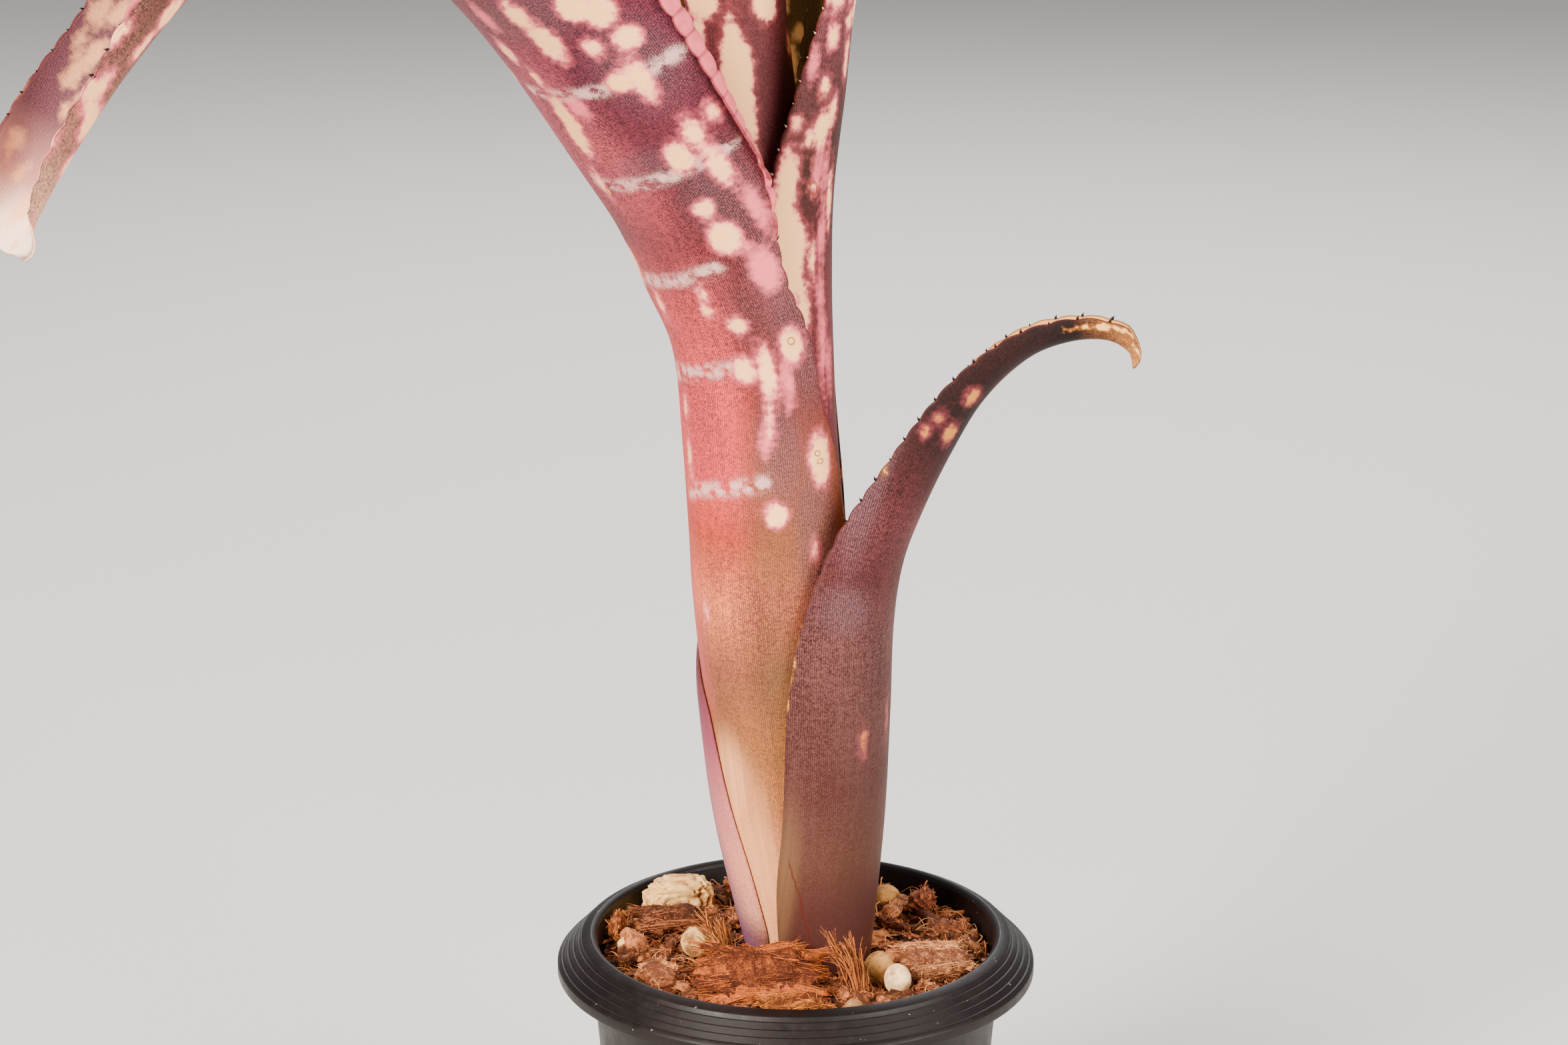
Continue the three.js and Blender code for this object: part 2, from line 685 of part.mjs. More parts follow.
function mixRelief(x, y) {
  const broad = Math.sin(x / RELIEF_WAVE + 1) * Math.cos(y / RELIEF_WAVE);
  return MIX_RELIEF * (broad + 0.5 * Math.sin((1.3 * x - y) / RELIEF_WAVE));
}

// A bed of rings from the pot's wall in to the hole that the stem and the leaves' feet stand in
function mixBed() {
  const bottom = FLOOR + GAP;
  const points = [];
  const rows = [];
  const addRow = (radius, height, relief, shift) => {
    const row = [];
    for (let j = 0; j < MIX_SIDES; j += 1) {
      const angle = (2 * Math.PI * j) / MIX_SIDES;
      const [x, y] = [radius * Math.cos(angle), radius * Math.sin(angle)];
      points.push([shift + x, y, height + relief * mixRelief(x, y)]);
      row.push(points.length - 1);
    }
    rows.push(row);
  };
  addRow(innerWallRadius(bottom) - GAP - FLOOR_FILLET, bottom, 0, 0);
  const rim = innerWallRadius(MIX_LEVEL - 2 * MIX_RELIEF) - GAP;
  for (let i = 0; i <= MIX_RINGS; i += 1) {
    const share = i / MIX_RINGS;
    addRow(lerp(rim, HOLE_RADIUS, share), MIX_LEVEL, 1, share * FOOT_X);
  }
  addRow(HOLE_RADIUS, HOLE_FLOOR, 0, FOOT_X);

  const faces = [];
  const under = points.push([0, 0, bottom]) - 1;
  const holeFloor = points.push([FOOT_X, 0, HOLE_FLOOR]) - 1;
  for (let j = 0; j < MIX_SIDES; j += 1) {
    const k = (j + 1) % MIX_SIDES;
    for (let i = 0; i < rows.length - 1; i += 1) {
      const [low, high] = [rows[i], rows[i + 1]];
      faces.push([low[j], low[k], high[k]], [low[j], high[k], high[j]]);
    }
    const last = rows[rows.length - 1];
    faces.push([under, rows[0][k], rows[0][j]], [holeFloor, last[j], last[k]]);
  }
  return closedGeometry(points, faces);
}

function smallChip(random, turn) {
  const size = SMALL_CHIP.least.map((least, axis) => least + SMALL_CHIP.spread[axis] * random());
  const room = size[0] / 2 + 2 * GAP;
  const nearest = HOLE_RADIUS + FOOT_X + room;
  const furthest = innerWallRadius(MIX_LEVEL) - GAP - room;
  const radius = lerp(nearest, furthest, Math.sqrt(random()));
  const chip = roughBox(random, size, 0).rotateY(0.5 * (random() - 0.5)).rotateZ(2 * Math.PI * random());
  const height = MIX_LEVEL + size[2] * lerp(0.3, 0.5, random());
  return chip.translate(radius * Math.cos(turn), radius * Math.sin(turn), height);
}

function makeMix(seats) {
  const random = seeded(SEEDS.mix);
  let solid = toSolid(mixBed());
  for (let i = 0; i < SMALL_CHIPS; i += 1) {
    solid = solid.add(toSolid(smallChip(random, 2 * Math.PI * i * GOLDEN_TURN)));
  }
  for (const seat of seats) solid = solid.subtract(seat);
  // The seats can cut crumbs loose from the small chips, and only the bed itself is kept
  const bed = solid.decompose().sort((a, b) => b.volume() - a.volume())[0];
  return meshOf('potting_mix', toGeometry(bed), 0x6e4127, ROUGHNESS.mix);
}

const group = new THREE.Group();
const toppings = makeToppings();
group.add(makePot(), makeMix(toppings.map((topping) => topping.seat)), makeStem());
group.add(...toppings.map((topping) => topping.mesh));
group.add(...makeLeaves());

export default group;
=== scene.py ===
import math

import bpy
import numpy as np
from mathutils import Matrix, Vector


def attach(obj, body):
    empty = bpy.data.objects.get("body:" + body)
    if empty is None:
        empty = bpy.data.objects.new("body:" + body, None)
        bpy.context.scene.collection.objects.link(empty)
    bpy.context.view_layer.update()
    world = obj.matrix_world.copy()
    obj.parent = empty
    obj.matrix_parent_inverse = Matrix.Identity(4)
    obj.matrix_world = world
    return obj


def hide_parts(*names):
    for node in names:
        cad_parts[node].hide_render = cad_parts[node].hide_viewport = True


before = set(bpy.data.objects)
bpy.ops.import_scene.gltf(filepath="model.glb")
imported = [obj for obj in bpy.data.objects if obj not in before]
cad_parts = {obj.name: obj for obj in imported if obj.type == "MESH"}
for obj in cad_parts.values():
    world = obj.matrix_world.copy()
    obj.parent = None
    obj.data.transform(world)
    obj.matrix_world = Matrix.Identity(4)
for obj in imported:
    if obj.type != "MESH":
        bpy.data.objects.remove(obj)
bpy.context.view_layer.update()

# A potted billbergia. Sizes are millimetres, +Z up and -Y the front, until a mesh is made in metres.

MM = 0.001
TURN = 2 * math.pi
BODY = "root"

# Camera, from the photograph's 2352 x 1568 frame
CAMERA_AT = (-2.2, -703.4, 367.07)
CAMERA_PITCH = 73.66
LENS = 91.84
SENSOR_WIDTH = 36

# Studio
FLOOR_SIZE = 6
FLOOR_COLOUR = "d9d6d1"
WORLD_COLOUR = "dfe3ea"
WORLD_STRENGTH = 0.4
LIGHTS = [
    {"name": "key", "at": (-0.75, -0.95, 0.8), "size": 0.5, "watts": 60, "colour": "fff6ec"},
    {"name": "fill", "at": (0.95, -0.75, 0.6), "size": 0.9, "watts": 34, "colour": "fffaf4"},
    {"name": "rim", "at": (0.1, 0.95, 0.9), "size": 0.7, "watts": 14, "colour": "ffffff"},
]
AIM = (0, 0, 0.15)

# Pot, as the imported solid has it
POT_HEIGHT = 81
BASE_RADIUS = 32
BASE_BEVEL = 1
WALL = 1.2
FLOOR = 1.6
FLOOR_FILLET = 0.7
INNER_EDGE_RADIUS = 37.5
INNER_EDGE_HEIGHT = 80
CREST_RADIUS = 38.6
LAND_RADIUS = 40.4
LAND_DROP = 0.8
LIP_RADIUS = 45
LIP_ROOT = 75
LIP_UNDERSIDE = 77.4
SKIRT_TOP = 75.5
SKIRT_BOTTOM = 73.4
SKIRT_THICKNESS = 1.6
GROOVES = 4
GROOVE_PITCH = 1.05
GROOVE_STEP = 0.2
GROOVE_DEPTH = 0.4
DRAIN_HOLES = 8
DRAIN_RING_RADIUS = 20
DRAIN_HOLE_RADIUS = 3
DRAIN_SIDES = 24
POT_SIDES = 160
CORNER_ROUND = 0.14
ROUND_SHARE = 0.4
MIX_LEVEL = 75.5

# Tube of leaves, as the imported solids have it
AXIS_X = 1.4
LEAN = -0.075
LEAF_FOOT = 71
LAYER = 1.45
LEVEL_ROWS_TO = 120
SQUARE_ROWS_FROM = 150
BLADE = 0.72
MARGIN = 0.4
THINNING_POWER = 3
TOOTH_PITCH = 4.32
ROWS_PER_TOOTH = 6
SHEATH_ROW = 1.4
LOBE = 0.45
ROLL_RADIUS = 0.35
ROLL_COLUMNS = 6
STRIP_COLUMNS = 5
LEAST_ROLL = 0.02
PRESS_POWER = 8
PRESS_FADE = (60, 30)
REFLEX_RAMP = 40
REFLEX_POWER = 6
LOBE_POWER = 0.7
STRIP_POWER = 0.6
STRIP_NOTCH = 0.7
STRIP_BULGE = 1.15
TIP_TAPER = 5
TIP_LEAST = 0.02
SPINE_SAMPLES = 600
FOOT_X = AXIS_X + LEAN * (LEAF_FOOT - INNER_EDGE_HEIGHT)

TUBE = [
    (8.6, 71), (9, 76), (10.2, 82), (13.5, 104), (14.7, 125),
    (15.4, 147), (15.1, 160), (14.9, 177), (15.2, 193),
]

# A spine's points are (out from the axis, up, radius across), and half widths are (along, width).
# Marks are (along, arc, half length, half width), placed from the photograph where it shows them.
LEAVES = {
    "leaf_front": {
        "azimuth": 228, "layer": 0, "tube_top": 193, "teeth_from": 118, "reflex": 1.6, "columns": 26,
        "spine": [
            (19, 204, 18.8), (25, 216.5, 18.8), (34, 229.5, 20), (46, 246.5, 22.4), (58, 260, 22.4),
            (74.7, 274.4, 20), (93.3, 280.8, 16), (108, 279.2, 12), (121.8, 272.6, 10),
            (137.6, 260.6, 7.6), (151.6, 247, 5.6), (159.8, 237.2, 5.4),
        ],
        "left": [
            (0, 24), (30, 32), (80, 30), (110, 25), (125, 22), (150, 21), (220, 24), (260, 17.5),
            (290, 10.5), (325, 12.5), (350, 1.5),
        ],
        "right": [
            (0, 24), (30, 33), (76, 34), (92, 28), (105, 26.5), (118, 23), (134, 21.5), (160, 25.3),
            (220, 28.5), (260, 18), (300, 12.2), (325, 8), (350, 1.5),
        ],
        "roll": [
            (0, 0), (140, 0), (158, 1.3), (185, 2), (210, 3), (250, 2.8), (276, 1.5), (300, 0), (350, 0),
        ],
        "cream": [
            (204, 7, 3.5, 1.6), (194, -3, 2.4, 1.3), (197, 8, 4.5, 2), (202, 16.5, 3, 2.5),
            (199, 19.5, 3, 2.5), (193, 14.5, 1.7, 1.2), (192, 20.5, 2.2, 2.2), (185, 14.5, 2, 2),
            (184, 18, 4, 1.6), (188, -0.5, 1.5, 0.7), (178, 0, 6, 1.8), (173.5, -0.5, 3, 1.6),
            (170, 20.5, 3, 1.4), (166.5, 16, 3.2, 2.2), (161.5, 21, 4, 1.6), (172, 25, 1.6, 1),
            (163, -2.5, 2.5, 0.8), (154.5, 14.5, 1.7, 1.7), (148, 15, 3, 2.6), (134, -5.5, 1.9, 0.8),
            (138, 6.5, 1.2, 0.8), (134.5, 6, 1.1, 0.8), (131, 10.5, 1.6, 1.5), (125, 18.5, 2.4, 2),
            (122.5, 9, 1.9, 1.9), (121.5, 13, 3.8, 1.4), (114, -6, 1.4, 0.6), (113, 12.5, 2, 0.6),
            (104.5, -6, 2.6, 0.7), (105.5, 22, 4.4, 2.2), (96, 12.5, 2, 2), (89, 19.5, 1.1, 0.6),
            (75.5, -4, 1.2, 0.6),
        ],
        "pink": [
            (204, -0.5, 3.2, 1.4), (194, -3.5, 2.4, 1.3), (181.5, 4.5, 2.4, 1.7), (165, 21, 1.5, 1),
            (151, 22.5, 4, 1.3), (140, 19, 4, 2.4), (145, 17.5, 1.1, 1), (109.5, 11.5, 2, 1),
            (119.5, 16.5, 3, 1),
        ],
        "rings": [(125.6, 18.6, 0.5, 0.6), (106.6, 21.4, 0.45, 0.6), (105, 22, 0.45, 0.75)],
        "bands": [
            (184, -5, 185, 26), (163, -4, 164, 25), (138, -11, 143, 11.5), (119, -12, 123, 7),
            (98, -7.5, 102, 11),
        ],
        "scattered": [(215, 345, -22, 26, 90), (282, 322, -11, 9, 24), (120, 215, -22, -10, 26)],
        "crust": [(128, 24.5, 3.4, 0.6), (123.5, 24, 2, 0.5), (161, -1.6, 0.8, 0.4)],
        "haze": [
            (155, 19, 13, 9), (187, 19, 12, 9), (204, 8, 9, 12), (141, 20, 9, 5), (126, 21, 14, 6),
            (108, 14, 12, 5), (166, 10, 5, 8), (91, 21, 20, 6),
        ],
        "pale": [(18, 1, 30, 8), (42, -2, 12, 6)],
        # A pinker band over the tube's left silhouette: painted sheen.
        "painted_sheen": [(66, -11, 34, 7)],
        # Where the far side starts across the leaf; past it the paint is darker, painted shade.
        "far_from": [
            (0, 60), (45, 20), (60, 6), (80, 6), (95, 7), (120, 8), (140, 10), (155, 10), (170, 8),
            (190, 6), (215, 4), (260, 20), (350, 40),
        ],
    },
    "leaf_right": {
        "azimuth": 358, "layer": -1, "tube_top": 177, "teeth_from": 130, "reflex": 0, "columns": 20,
        "spine": [
            (13.9, 193, 13.6), (14.6, 207, 13.7), (16.1, 223, 13.2), (19.3, 240, 13), (22.4, 257, 13.5),
            (27.5, 275, 13.5), (33, 292, 12), (40, 306, 9),
        ],
        "left": [
            (0, 20), (40, 24), (110, 22), (135, 18.5), (150, 18.5), (168, 16), (190, 11.5), (215, 8),
            (243, 1.5),
        ],
        "right": [(0, 20), (40, 24), (110, 22), (140, 17), (190, 15), (215, 11), (243, 1.5)],
        "cream": [
            (172.5, -10, 1.6, 0.9), (168, -7, 2.2, 1.1), (164.5, -9.5, 3, 1.7), (163, -12, 1.2, 0.7),
            (152, -4.5, 4, 1), (177.5, -3.5, 2.8, 1), (165.5, -15, 1, 0.8), (155.5, -15.5, 5, 1.8),
            (149, -16, 6, 2), (144.5, -14.5, 5, 3), (139, -14, 5, 1.8), (132.5, -12, 4, 1.2),
            (141.5, -9.5, 2.5, 0.7), (154.5, -10, 1, 0.8),
        ],
        "pink": [
            (157, -9.5, 3.2, 1), (157, -7, 3.6, 0.7), (176.5, -13, 2, 0.8), (145.5, -7, 3.6, 1.1),
            (134.5, -7.5, 3.2, 0.9), (125.5, -7, 6, 1), (121.5, -4.5, 3.4, 0.7),
        ],
        "rings": [(154, -9.8, 1, 0.8)],
       
        "scattered": [(190, 240, -10, 12, 16), (60, 190, 3, 18, 30), (178, 192, -12, 0, 6)],
    },
    "leaf_centre": {
        "azimuth": 285, "layer": -2, "tube_top": 193, "teeth_from": 130, "reflex": 0, "columns": 20,
        "spine": [
            (11.9, 207, 11.9), (11.4, 223, 11.4), (10.8, 240, 10.6), (10, 257, 10), (10.3, 275, 11),
            (12.5, 292, 9.5), (15, 306, 7),
        ],
        "left": [
            (0, 16), (60, 18), (150, 10), (168, 6), (186, 11), (200, 14.5), (215, 10), (238, 1.5),
        ],
        "right": [(0, 16), (60, 20), (150, 15), (190, 14), (215, 10), (238, 1.5)],
        "cream": [
            (180, -2.5, 5, 1.6), (176.5, -2, 5, 2.8), (172, -2, 5, 2.4), (167, -1.5, 5, 2),
            (161.5, -1.5, 5, 1.5), (156, -1, 5, 1), (187.5, -7.5, 2.6, 3), (187, 4.5, 3, 2.5),
            (182.5, -8.5, 3, 1),
        ],
       
       
       
        "scattered": [(190, 236, -12, 14, 14), (60, 185, 6, 15, 12)],
    },
    "leaf_back": {
        "azimuth": 82, "layer": 1.12, "tube_top": 177, "teeth_from": 130, "reflex": 0, "columns": 24,
        "press": 1.15,
        "spine": [
            (16.8, 193, 16.8), (17.6, 207, 17.6), (19.2, 223, 18.2), (21.5, 240, 18.5),
            (24.5, 257, 18.5), (29, 275, 18), (35, 290, 15), (42, 302, 11),
        ],
        "left": [
            (0, 24), (14, 31), (33, 35), (54, 27), (72, 20), (86, 14.5), (130, 13.5), (190, 15),
            (215, 11), (240, 1.5),
        ],
        "right": [
            (0, 24), (14, 32.3), (33, 36.6), (54, 34.4), (75, 19.6), (110, 17.5), (130, 17), (190, 19),
            (215, 12), (240, 1.5),
        ],
        "cream": [(177.5, -10, 1.6, 1.6), (182, -6.5, 1.5, 1.5), (172, -8, 4, 1.3)],
       
       
        "bands": [(60, -20, 62, 20), (90, -20, 92, 20), (120, -20, 122, 20), (150, -20, 152, 20)],
        "scattered": [(40, 236, -18, 18, 60)],
        "haze": [(32, 22, 40, 9)],
    },
    "leaf_heart": {
        "azimuth": 130, "layer": -3, "tube_top": 193, "teeth_from": 150, "reflex": 0, "columns": 14,
        "spine": [(9.6, 210, 9.6), (8.6, 230, 8.6), (8, 250, 8), (8, 268, 7), (8.6, 284, 5)],
        "left": [(0, 12), (60, 18), (150, 13), (190, 9), (214, 1.2)],
        "right": [(0, 12), (60, 18), (150, 13), (190, 9), (214, 1.2)],
       
       
       
       
        "scattered": [(120, 212, -12, 12, 26)],
    },
    "leaf_outer": {
        "azimuth": 350, "layer": None, "tube_top": 0, "teeth_from": 78, "reflex": 0, "columns": 22,
        "tooth": 0.8,
        "spine": [
            (11.9, 71, 11.9), (12.5, 76, 12.5), (13.6, 82.5, 13.5), (17.1, 104, 16.4), (19.6, 125, 16.4),
            (21.4, 142, 16), (24, 154, 14), (28.2, 164, 11), (34.2, 175.4, 8.6), (41, 186, 6.8),
            (49.4, 194, 5.2), (57, 197.4, 4), (63.6, 198, 3), (67.4, 196, 2.2), (68, 193, 1.6),
        ],
        "left": [
            (0, 21), (30, 26), (55, 26), (72, 24), (85, 20), (100, 15), (115, 11.5), (130, 8.5),
            (145, 6), (158, 3.5), (168, 1),
        ],
        "right": [
            (0, 21), (30, 24), (55, 23), (72, 20), (85, 17), (100, 13), (115, 10), (130, 7.5), (145, 5),
            (158, 3.5), (168, 1),
        ],
        "cream": [
            (112.5, -5.5, 1.8, 1.2), (120.5, -5.5, 1.5, 1.4), (125.5, -0.5, 1.8, 0.5),
            (52, -10.5, 1.7, 0.7), (55, -2.5, 2, 0.4), (114.5, -9, 0.9, 0.6), (111.5, -10.5, 0.7, 0.5),
        ],
       
        "rings": [
            (114.5, -9, 0.35, 0.3), (111.5, -10.5, 0.3, 0.25), (52, -10.5, 0.6, 0.3),
        ],
       
       
        "crust": [
            (80, -22.8, 1.8, 0.7), (74, -24.2, 1.6, 0.5), (67, -25.6, 2.4, 0.8), (61, -26, 1.4, 0.4),
            (104, -14.8, 2.2, 0.7), (147, -5, 4, 0.4), (155, -3.4, 3, 0.5), (163.5, 0, 4, 0.9),
        ],
        "haze": [(77, -15.5, 5, 6), (146, 2, 5, 3), (99, -16, 18, 3.4)],
        "pale": [(20, -25, 24, 3.6), (2, 4, 20, 6)],
    },
}
MARK_REACH = 4
OFF_MARKS = -4.0
TOOTH_SIZE = 0.6
TOOTH_VARIES = (0.7, 1.3)
TOOTH_POINTS = 9
TOOTH_SHAPE = (0.42, 0.17, 1.05)
TOOTH_RINGS = ((-0.25, 0, 1), (0.45, 0.12, 0.55))
TOOTH_TIP = (0.85, 0.5)
FOLD_TOOTH = 1.7
EDGE_FADE = 6
PLAIN_EDGE = 2
# No far side on the leaf, so no painted shade.
NO_SHADED_SIDE = [(0, 99), (400, 99)]
MARK_JOIN = 0.3
ZONE_FADE = (-1.25, -0.35)
BAND_WIDTH = 1.9
BAND_FADE = 3
SPOT_LENGTH = (0.7, 3.2)
SPOT_SLIMNESS = (0.35, 0.8)
PINK_EVERY = 3
# Soft edge of the far side's painted shade.
SHADED_SIDE_FADE = 4
STRIP_FROM = (0.3, 1.2)

# Large pieces on the mix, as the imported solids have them: middle, size and turns in degrees
HUSK_KEYS = ("at", "size", "yaw", "tilt", "fibres", "strands", "light", "dark")
HUSK = {
    "chip_front": ((-6.9, -21, 80.2), (25, 13, 4.6), 4, 33, 2400, 16, "c46428", "401808"),
    "chip_front_low": ((0.4, -30.8, 77.8), (13.5, 6, 4.4), 8, 8, 900, 9, "d47c30", "4c1e0a"),
    "chip_left_front": ((-25.6, -18, 77.8), (10.5, 7.5, 6), -62, 10, 900, 8, "d88c54", "58280f"),
    "chip_left": ((-24, 10.4, 78.6), (14.5, 7.5, 4.4), 8, 22, 1000, 9, "a86038", "381808"),
    "chip_left_edge": ((-34, 7, 78.6), (4.8, 2.8, 5.6), 60, 0, 260, 3, "d48440", "58240c"),
    "chip_right": ((26, -10.5, 77.6), (14.5, 10.5, 6.4), 18, 12, 1500, 12, "e09860", "582810"),
    "chip_right_back": ((24.5, 20, 78.6), (8, 4.5, 4.6), 70, 24, 400, 5, "c87444", "501f0c"),
    "chip_right_far": ((29.5, 8.8, 77.4), (7.5, 4.6, 3.6), -20, 14, 400, 5, "c07040", "4a200c"),
    "stick_left": ((-30.6, -5.6, 77.6), (8.5, 2.4, 2.4), 42, 0, 240, 3, "b46c38", "3c1808"),
    "stick_right": ((18.4, 9.8, 78), (8, 2.6, 2.4), -42, 0, 240, 3, "bc6834", "441a0a"),
    "strip_right": ((33, -1.2, 78.2), (8, 2.2, 2.4), -68, 0, 240, 3, "cc8850", "542a12"),
}
UPRIGHT_GRAIN = ("chip_left_front", "chip_left_edge", "chip_right_back")
TUFTS_KEYS = ("at", "height", "spread", "lean", "fibres", "light", "dark")
TUFTS = {
    "tuft_front": ((11.6, -23, 74.6), 15, 4.6, (-2.4, 1.6), 190, "b86830", "40180a"),
    "tuft_left": ((-12.6, -5.6, 75), 11.5, 3.4, (-2.4, 1), 140, "cc7c3c", "542810"),
}
STONES_KEYS = ("at", "size", "yaw", "kind", "light", "dark", "rough")
STONES = {
    "pumice_large": ((-23, 20, 79.4), (14.5, 9.6, 9), 10, "pumice", "fccc7c", "b47840", 0.12),
    "pebble_brown": ((-18.6, -3, 79.2), (6, 5.6, 6.4), 20, "pebble", "e8b468", "84522a", 0.07),
    "pebble_left": ((-31.4, 1.8, 77.2), (5, 3.6, 3), 10, "pebble", "fcc880", "c89458", 0.06),
    "pebble_olive": ((15.4, -14.4, 78.6), (6.2, 5.4, 7.4), 0, "pebble", "c48c48", "744824", 0.07),
    "pebble_white": ((18.8, -19.6, 79), (5.2, 4.6, 6.6), -10, "pebble", "fcd49c", "b07c4c", 0.07),
    "pebble_small": ((10.4, -30.6, 78), (3.8, 3.2, 3.2), 0, "pebble", "c8945c", "8c6038", 0.06),
    "pebble_yellow": ((17.6, 22.6, 78.6), (6, 5, 5), 30, "pebble", "c88c44", "8c5828", 0.07),
}
SEED = 41

# Husk chips: the body's shape, the fibres and pith on its skin, and the strands it is made from
CHIP_END_POWER = 6
CHIP_SQUARENESS = 0.62
CHIP_BLUNT_END = 0.1
CHIP_FIBRE_END = 0.5
CHIP_FILL = 0.88
CHIP_LUMPS = 0.2
CHIP_GRAIN = 0.12
CHIP_STEPS = 40
CHIP_AROUND = 30
CHIP_REACH = 0.95
CHIP_SEEDS = 100
BROAD_WAVES = (7, 0.9)
NARROW_WAVES = (12, 4)
WAVE_VARIES = (0.6, 1.6)
WAVE_WEIGHT = (0.4, 1)
BODY_TONE = (0.35, 0.3)
FIBRE_STEPS = 5
FIBRE_REACH = (0.1, 0.5)
FIBRE_LONGER = (1, 1, 1.6)
FIBRE_SPREAD = 0.5
FIBRE_SWAY = 0.05
FIBRE_LIFT = 0.12
FIBRE_THIN = 0.035
FIBRE_THICKER = 0.085
FIBRE_TONE = (0.5, 0.45, 0.22)
STRAY_FIBRES = 0.12
STRAY_LIFT = (0.2, 0.9)
FRAY = 1.12
FRAY_FROM = 0.85
FRAY_LIFT = (0.1, 0.25)
NEAR_AXIS = 0.3
PITH_SHARE = 0.55
PITH_STEPS = 3
PITH_LENGTH = (0.5, 1.7)
PITH_BEND = 1.4
PITH_RADIUS = (0.05, 0.15)
PITH_TONE = (0.1, 0.95)
STRAND_LENGTH = (0.45, 0.95)
STRAND_WIDTH = (0.14, 0.34)
STRAND_HEIGHT = (0.3, 0.6)
STRAND_SPREAD = 9
STRAND_TILT = 10
STRAND_STEPS = 16
STRAND_AROUND = 10
STRAND_TONE = 0.16
CORE_SIZE = 0.86
CORE_FIBRES = 40
CORE_TONE = 0.6
TUBE_SIDES = 3
STEEP = 0.8

# Flakes, crumbs and loose fibres on the bed of mix, and its waves
FLAKES = 115
FLAKE_FIBRES = 22
FLAKE_NEAREST = 15
FLAKE_FURTHEST = 32
FLAKE_LENGTH = (3, 8)
FLAKE_WIDTH = (0.3, 0.6)
FLAKE_HEIGHT = (0.24, 0.44)
FLAKE_STEPS = 11
FLAKE_AROUND = 12
FLAKE_TILT = 26
FLAKE_RISE = (0.6, 2.4)
FLAKE_TONE = 0.18
FLAKE_SEED = 600
MIX_RELIEF = 1.1
RELIEF_WAVE = 2.5
FOOT_RING = 13.4
BED_EDGE = 36.4
CRUMBS = 4200
CRUMB_SIZE = 2.4
CRUMB_LEAST = 0.35
CRUMB_SLIMMEST = (0.7, 0.16, 0.1)
CRUMB_FULLEST = (1.5, 0.5, 0.34)
CRUMB_RAGGED = (0.3, 1.4)
CRUMB_LEAN = 0.6
CRUMB_RISE = 0.35
CRUMB_SEED = 400
FOOT_CRUMBS = 260
FOOT_CRUMB_RING = (10.4, 15)
FOOT_CRUMB_SIZE = (0.8, 2.4)
LOOSE_FIBRES = 420
LOOSE_STEPS = 10
LOOSE_LENGTH = (3, 13)
LOOSE_WANDER = 0.16
LOOSE_CURL = 0.09
LOOSE_MARGIN = 0.5
LOOSE_RISE = 0.5
LOOSE_ARCH = (0.2, 2.2)
LOOSE_RADIUS = (0.07, 0.16)
LOOSE_TONE = (0.2, 1)
LOOSE_SEED = 500

# Tufts of husk fibre
TUFT_STEPS = 10
TUFT_FOOT = 1.8
TUFT_DEPTH = (1.6, 0.4)
TUFT_BEND = 1.4
TUFT_RIDGE = 0.9
TUFT_FIBRE = (0.07, 0.2)
TUFT_TAPER = (1.1, 0.6)
TUFT_TONE = (0.05, 1)
TUFT_SWAY = 0.04
STRAY_SWAY = 0.28
STRAY_SHARE = 0.06
TUFT_CURL = (-0.5, 0.8)
TUFT_CURL_FROM = 0.75
TUFT_SEEDS = 200
TORN_LEVEL = 0.86
TORN_WAVE = 0.14
TORN_RATE = 9
TORN_SLOPE = 0.16
TORN_SHORTEST = 0.72

# Stones
OCTAVES = 4
OCTAVE_WAVES = 5
OCTAVE_FADE = 0.45
FIRST_WAVE = 3
BLOCK_POWER = 0.62
FACETS = 11
FACET_AT = (0.4, 0.5)
FACET_CUT = 0.95
PITS = 420
PIT_RADIUS = (0.02, 0.06)
PIT_DEPTH = 0.085
STONE_FIT = 0.98
STONE_DETAIL = {"pumice": 6, "pebble": 5}
STONE_SEEDS = 300

# Materials but the leaves': noise as (turns a metre, detail, roughness) and bumps as (share, metres)
HUSK_GRAIN = (2600, 3, 0.7)
HUSK_PATCH = (300, 2, 0.5)
HUSK_TONE = 1.15
HUSK_GRAIN_SHARE = 1.3
HUSK_PATCH_SHARE = 0.4
HUSK_BASE = -0.95
HUSK_RELIEF = (2600, 2)
HUSK_BUMP = (0.5, 0.0002)
ROCK_MOTTLE = (300, 4, 0.65)
ROCK_MOTTLE_FADE = (0.32, 0.6)
ROCK_SPECKS = (1300, 2)
ROCK_SPECK_FADE = (0.58, 0.7)
ROCK_SPECK_SHARE = 0.6
ROCK_RELIEF = (1600, 4, 0.7)
ROCK_BUMP = (0.7, 0.0004)
POT_CLOUD = (60, 3, 0.6)
POT_CLOUD_FADE = (0.35, 0.7)
POT_DUST = (330, 3, 0.7)
POT_DUST_FADE = (0.54, 0.75)
POT_DUST_SHARE = 0.35
POT_SPECKS = (1100, 1, 0.6)
POT_SPECK_FADE = (0.76, 0.8)
POT_SPECK_SHARE = 0.6
POT_ROUGHEST = 0.35
POT_SMOOTHEST = 0.28
POT_RELIEF = (1500, 2)
POT_BUMP = (0.12, 0.0001)
BED_BROAD = (500, 4, 0.7)
BED_FINE = (2200, 2)
BED_SHARES = (0.7, 0.3)
BED_FADE = (0.35, 0.68)
BED_RELIEF = (900, 4, 0.7)
BED_BUMP = (0.9, 0.0006)
BARK_GRAIN = (350, 3)
BARK_FADE = (0.35, 0.65)
BARK_RELIEF = (1200, 3)
BARK_BUMP = (0.6, 0.0003)
LEAF_BUMP = (0.3, 0.0002)
POT_DARK = "0e0706"
POT_LIGHT = "160d0c"
POT_FILM = "211a17"
POT_SPECK = "8c7c68"
FLAKE_HUSK = ("flake_husk", "cc7c48", "4c220e")
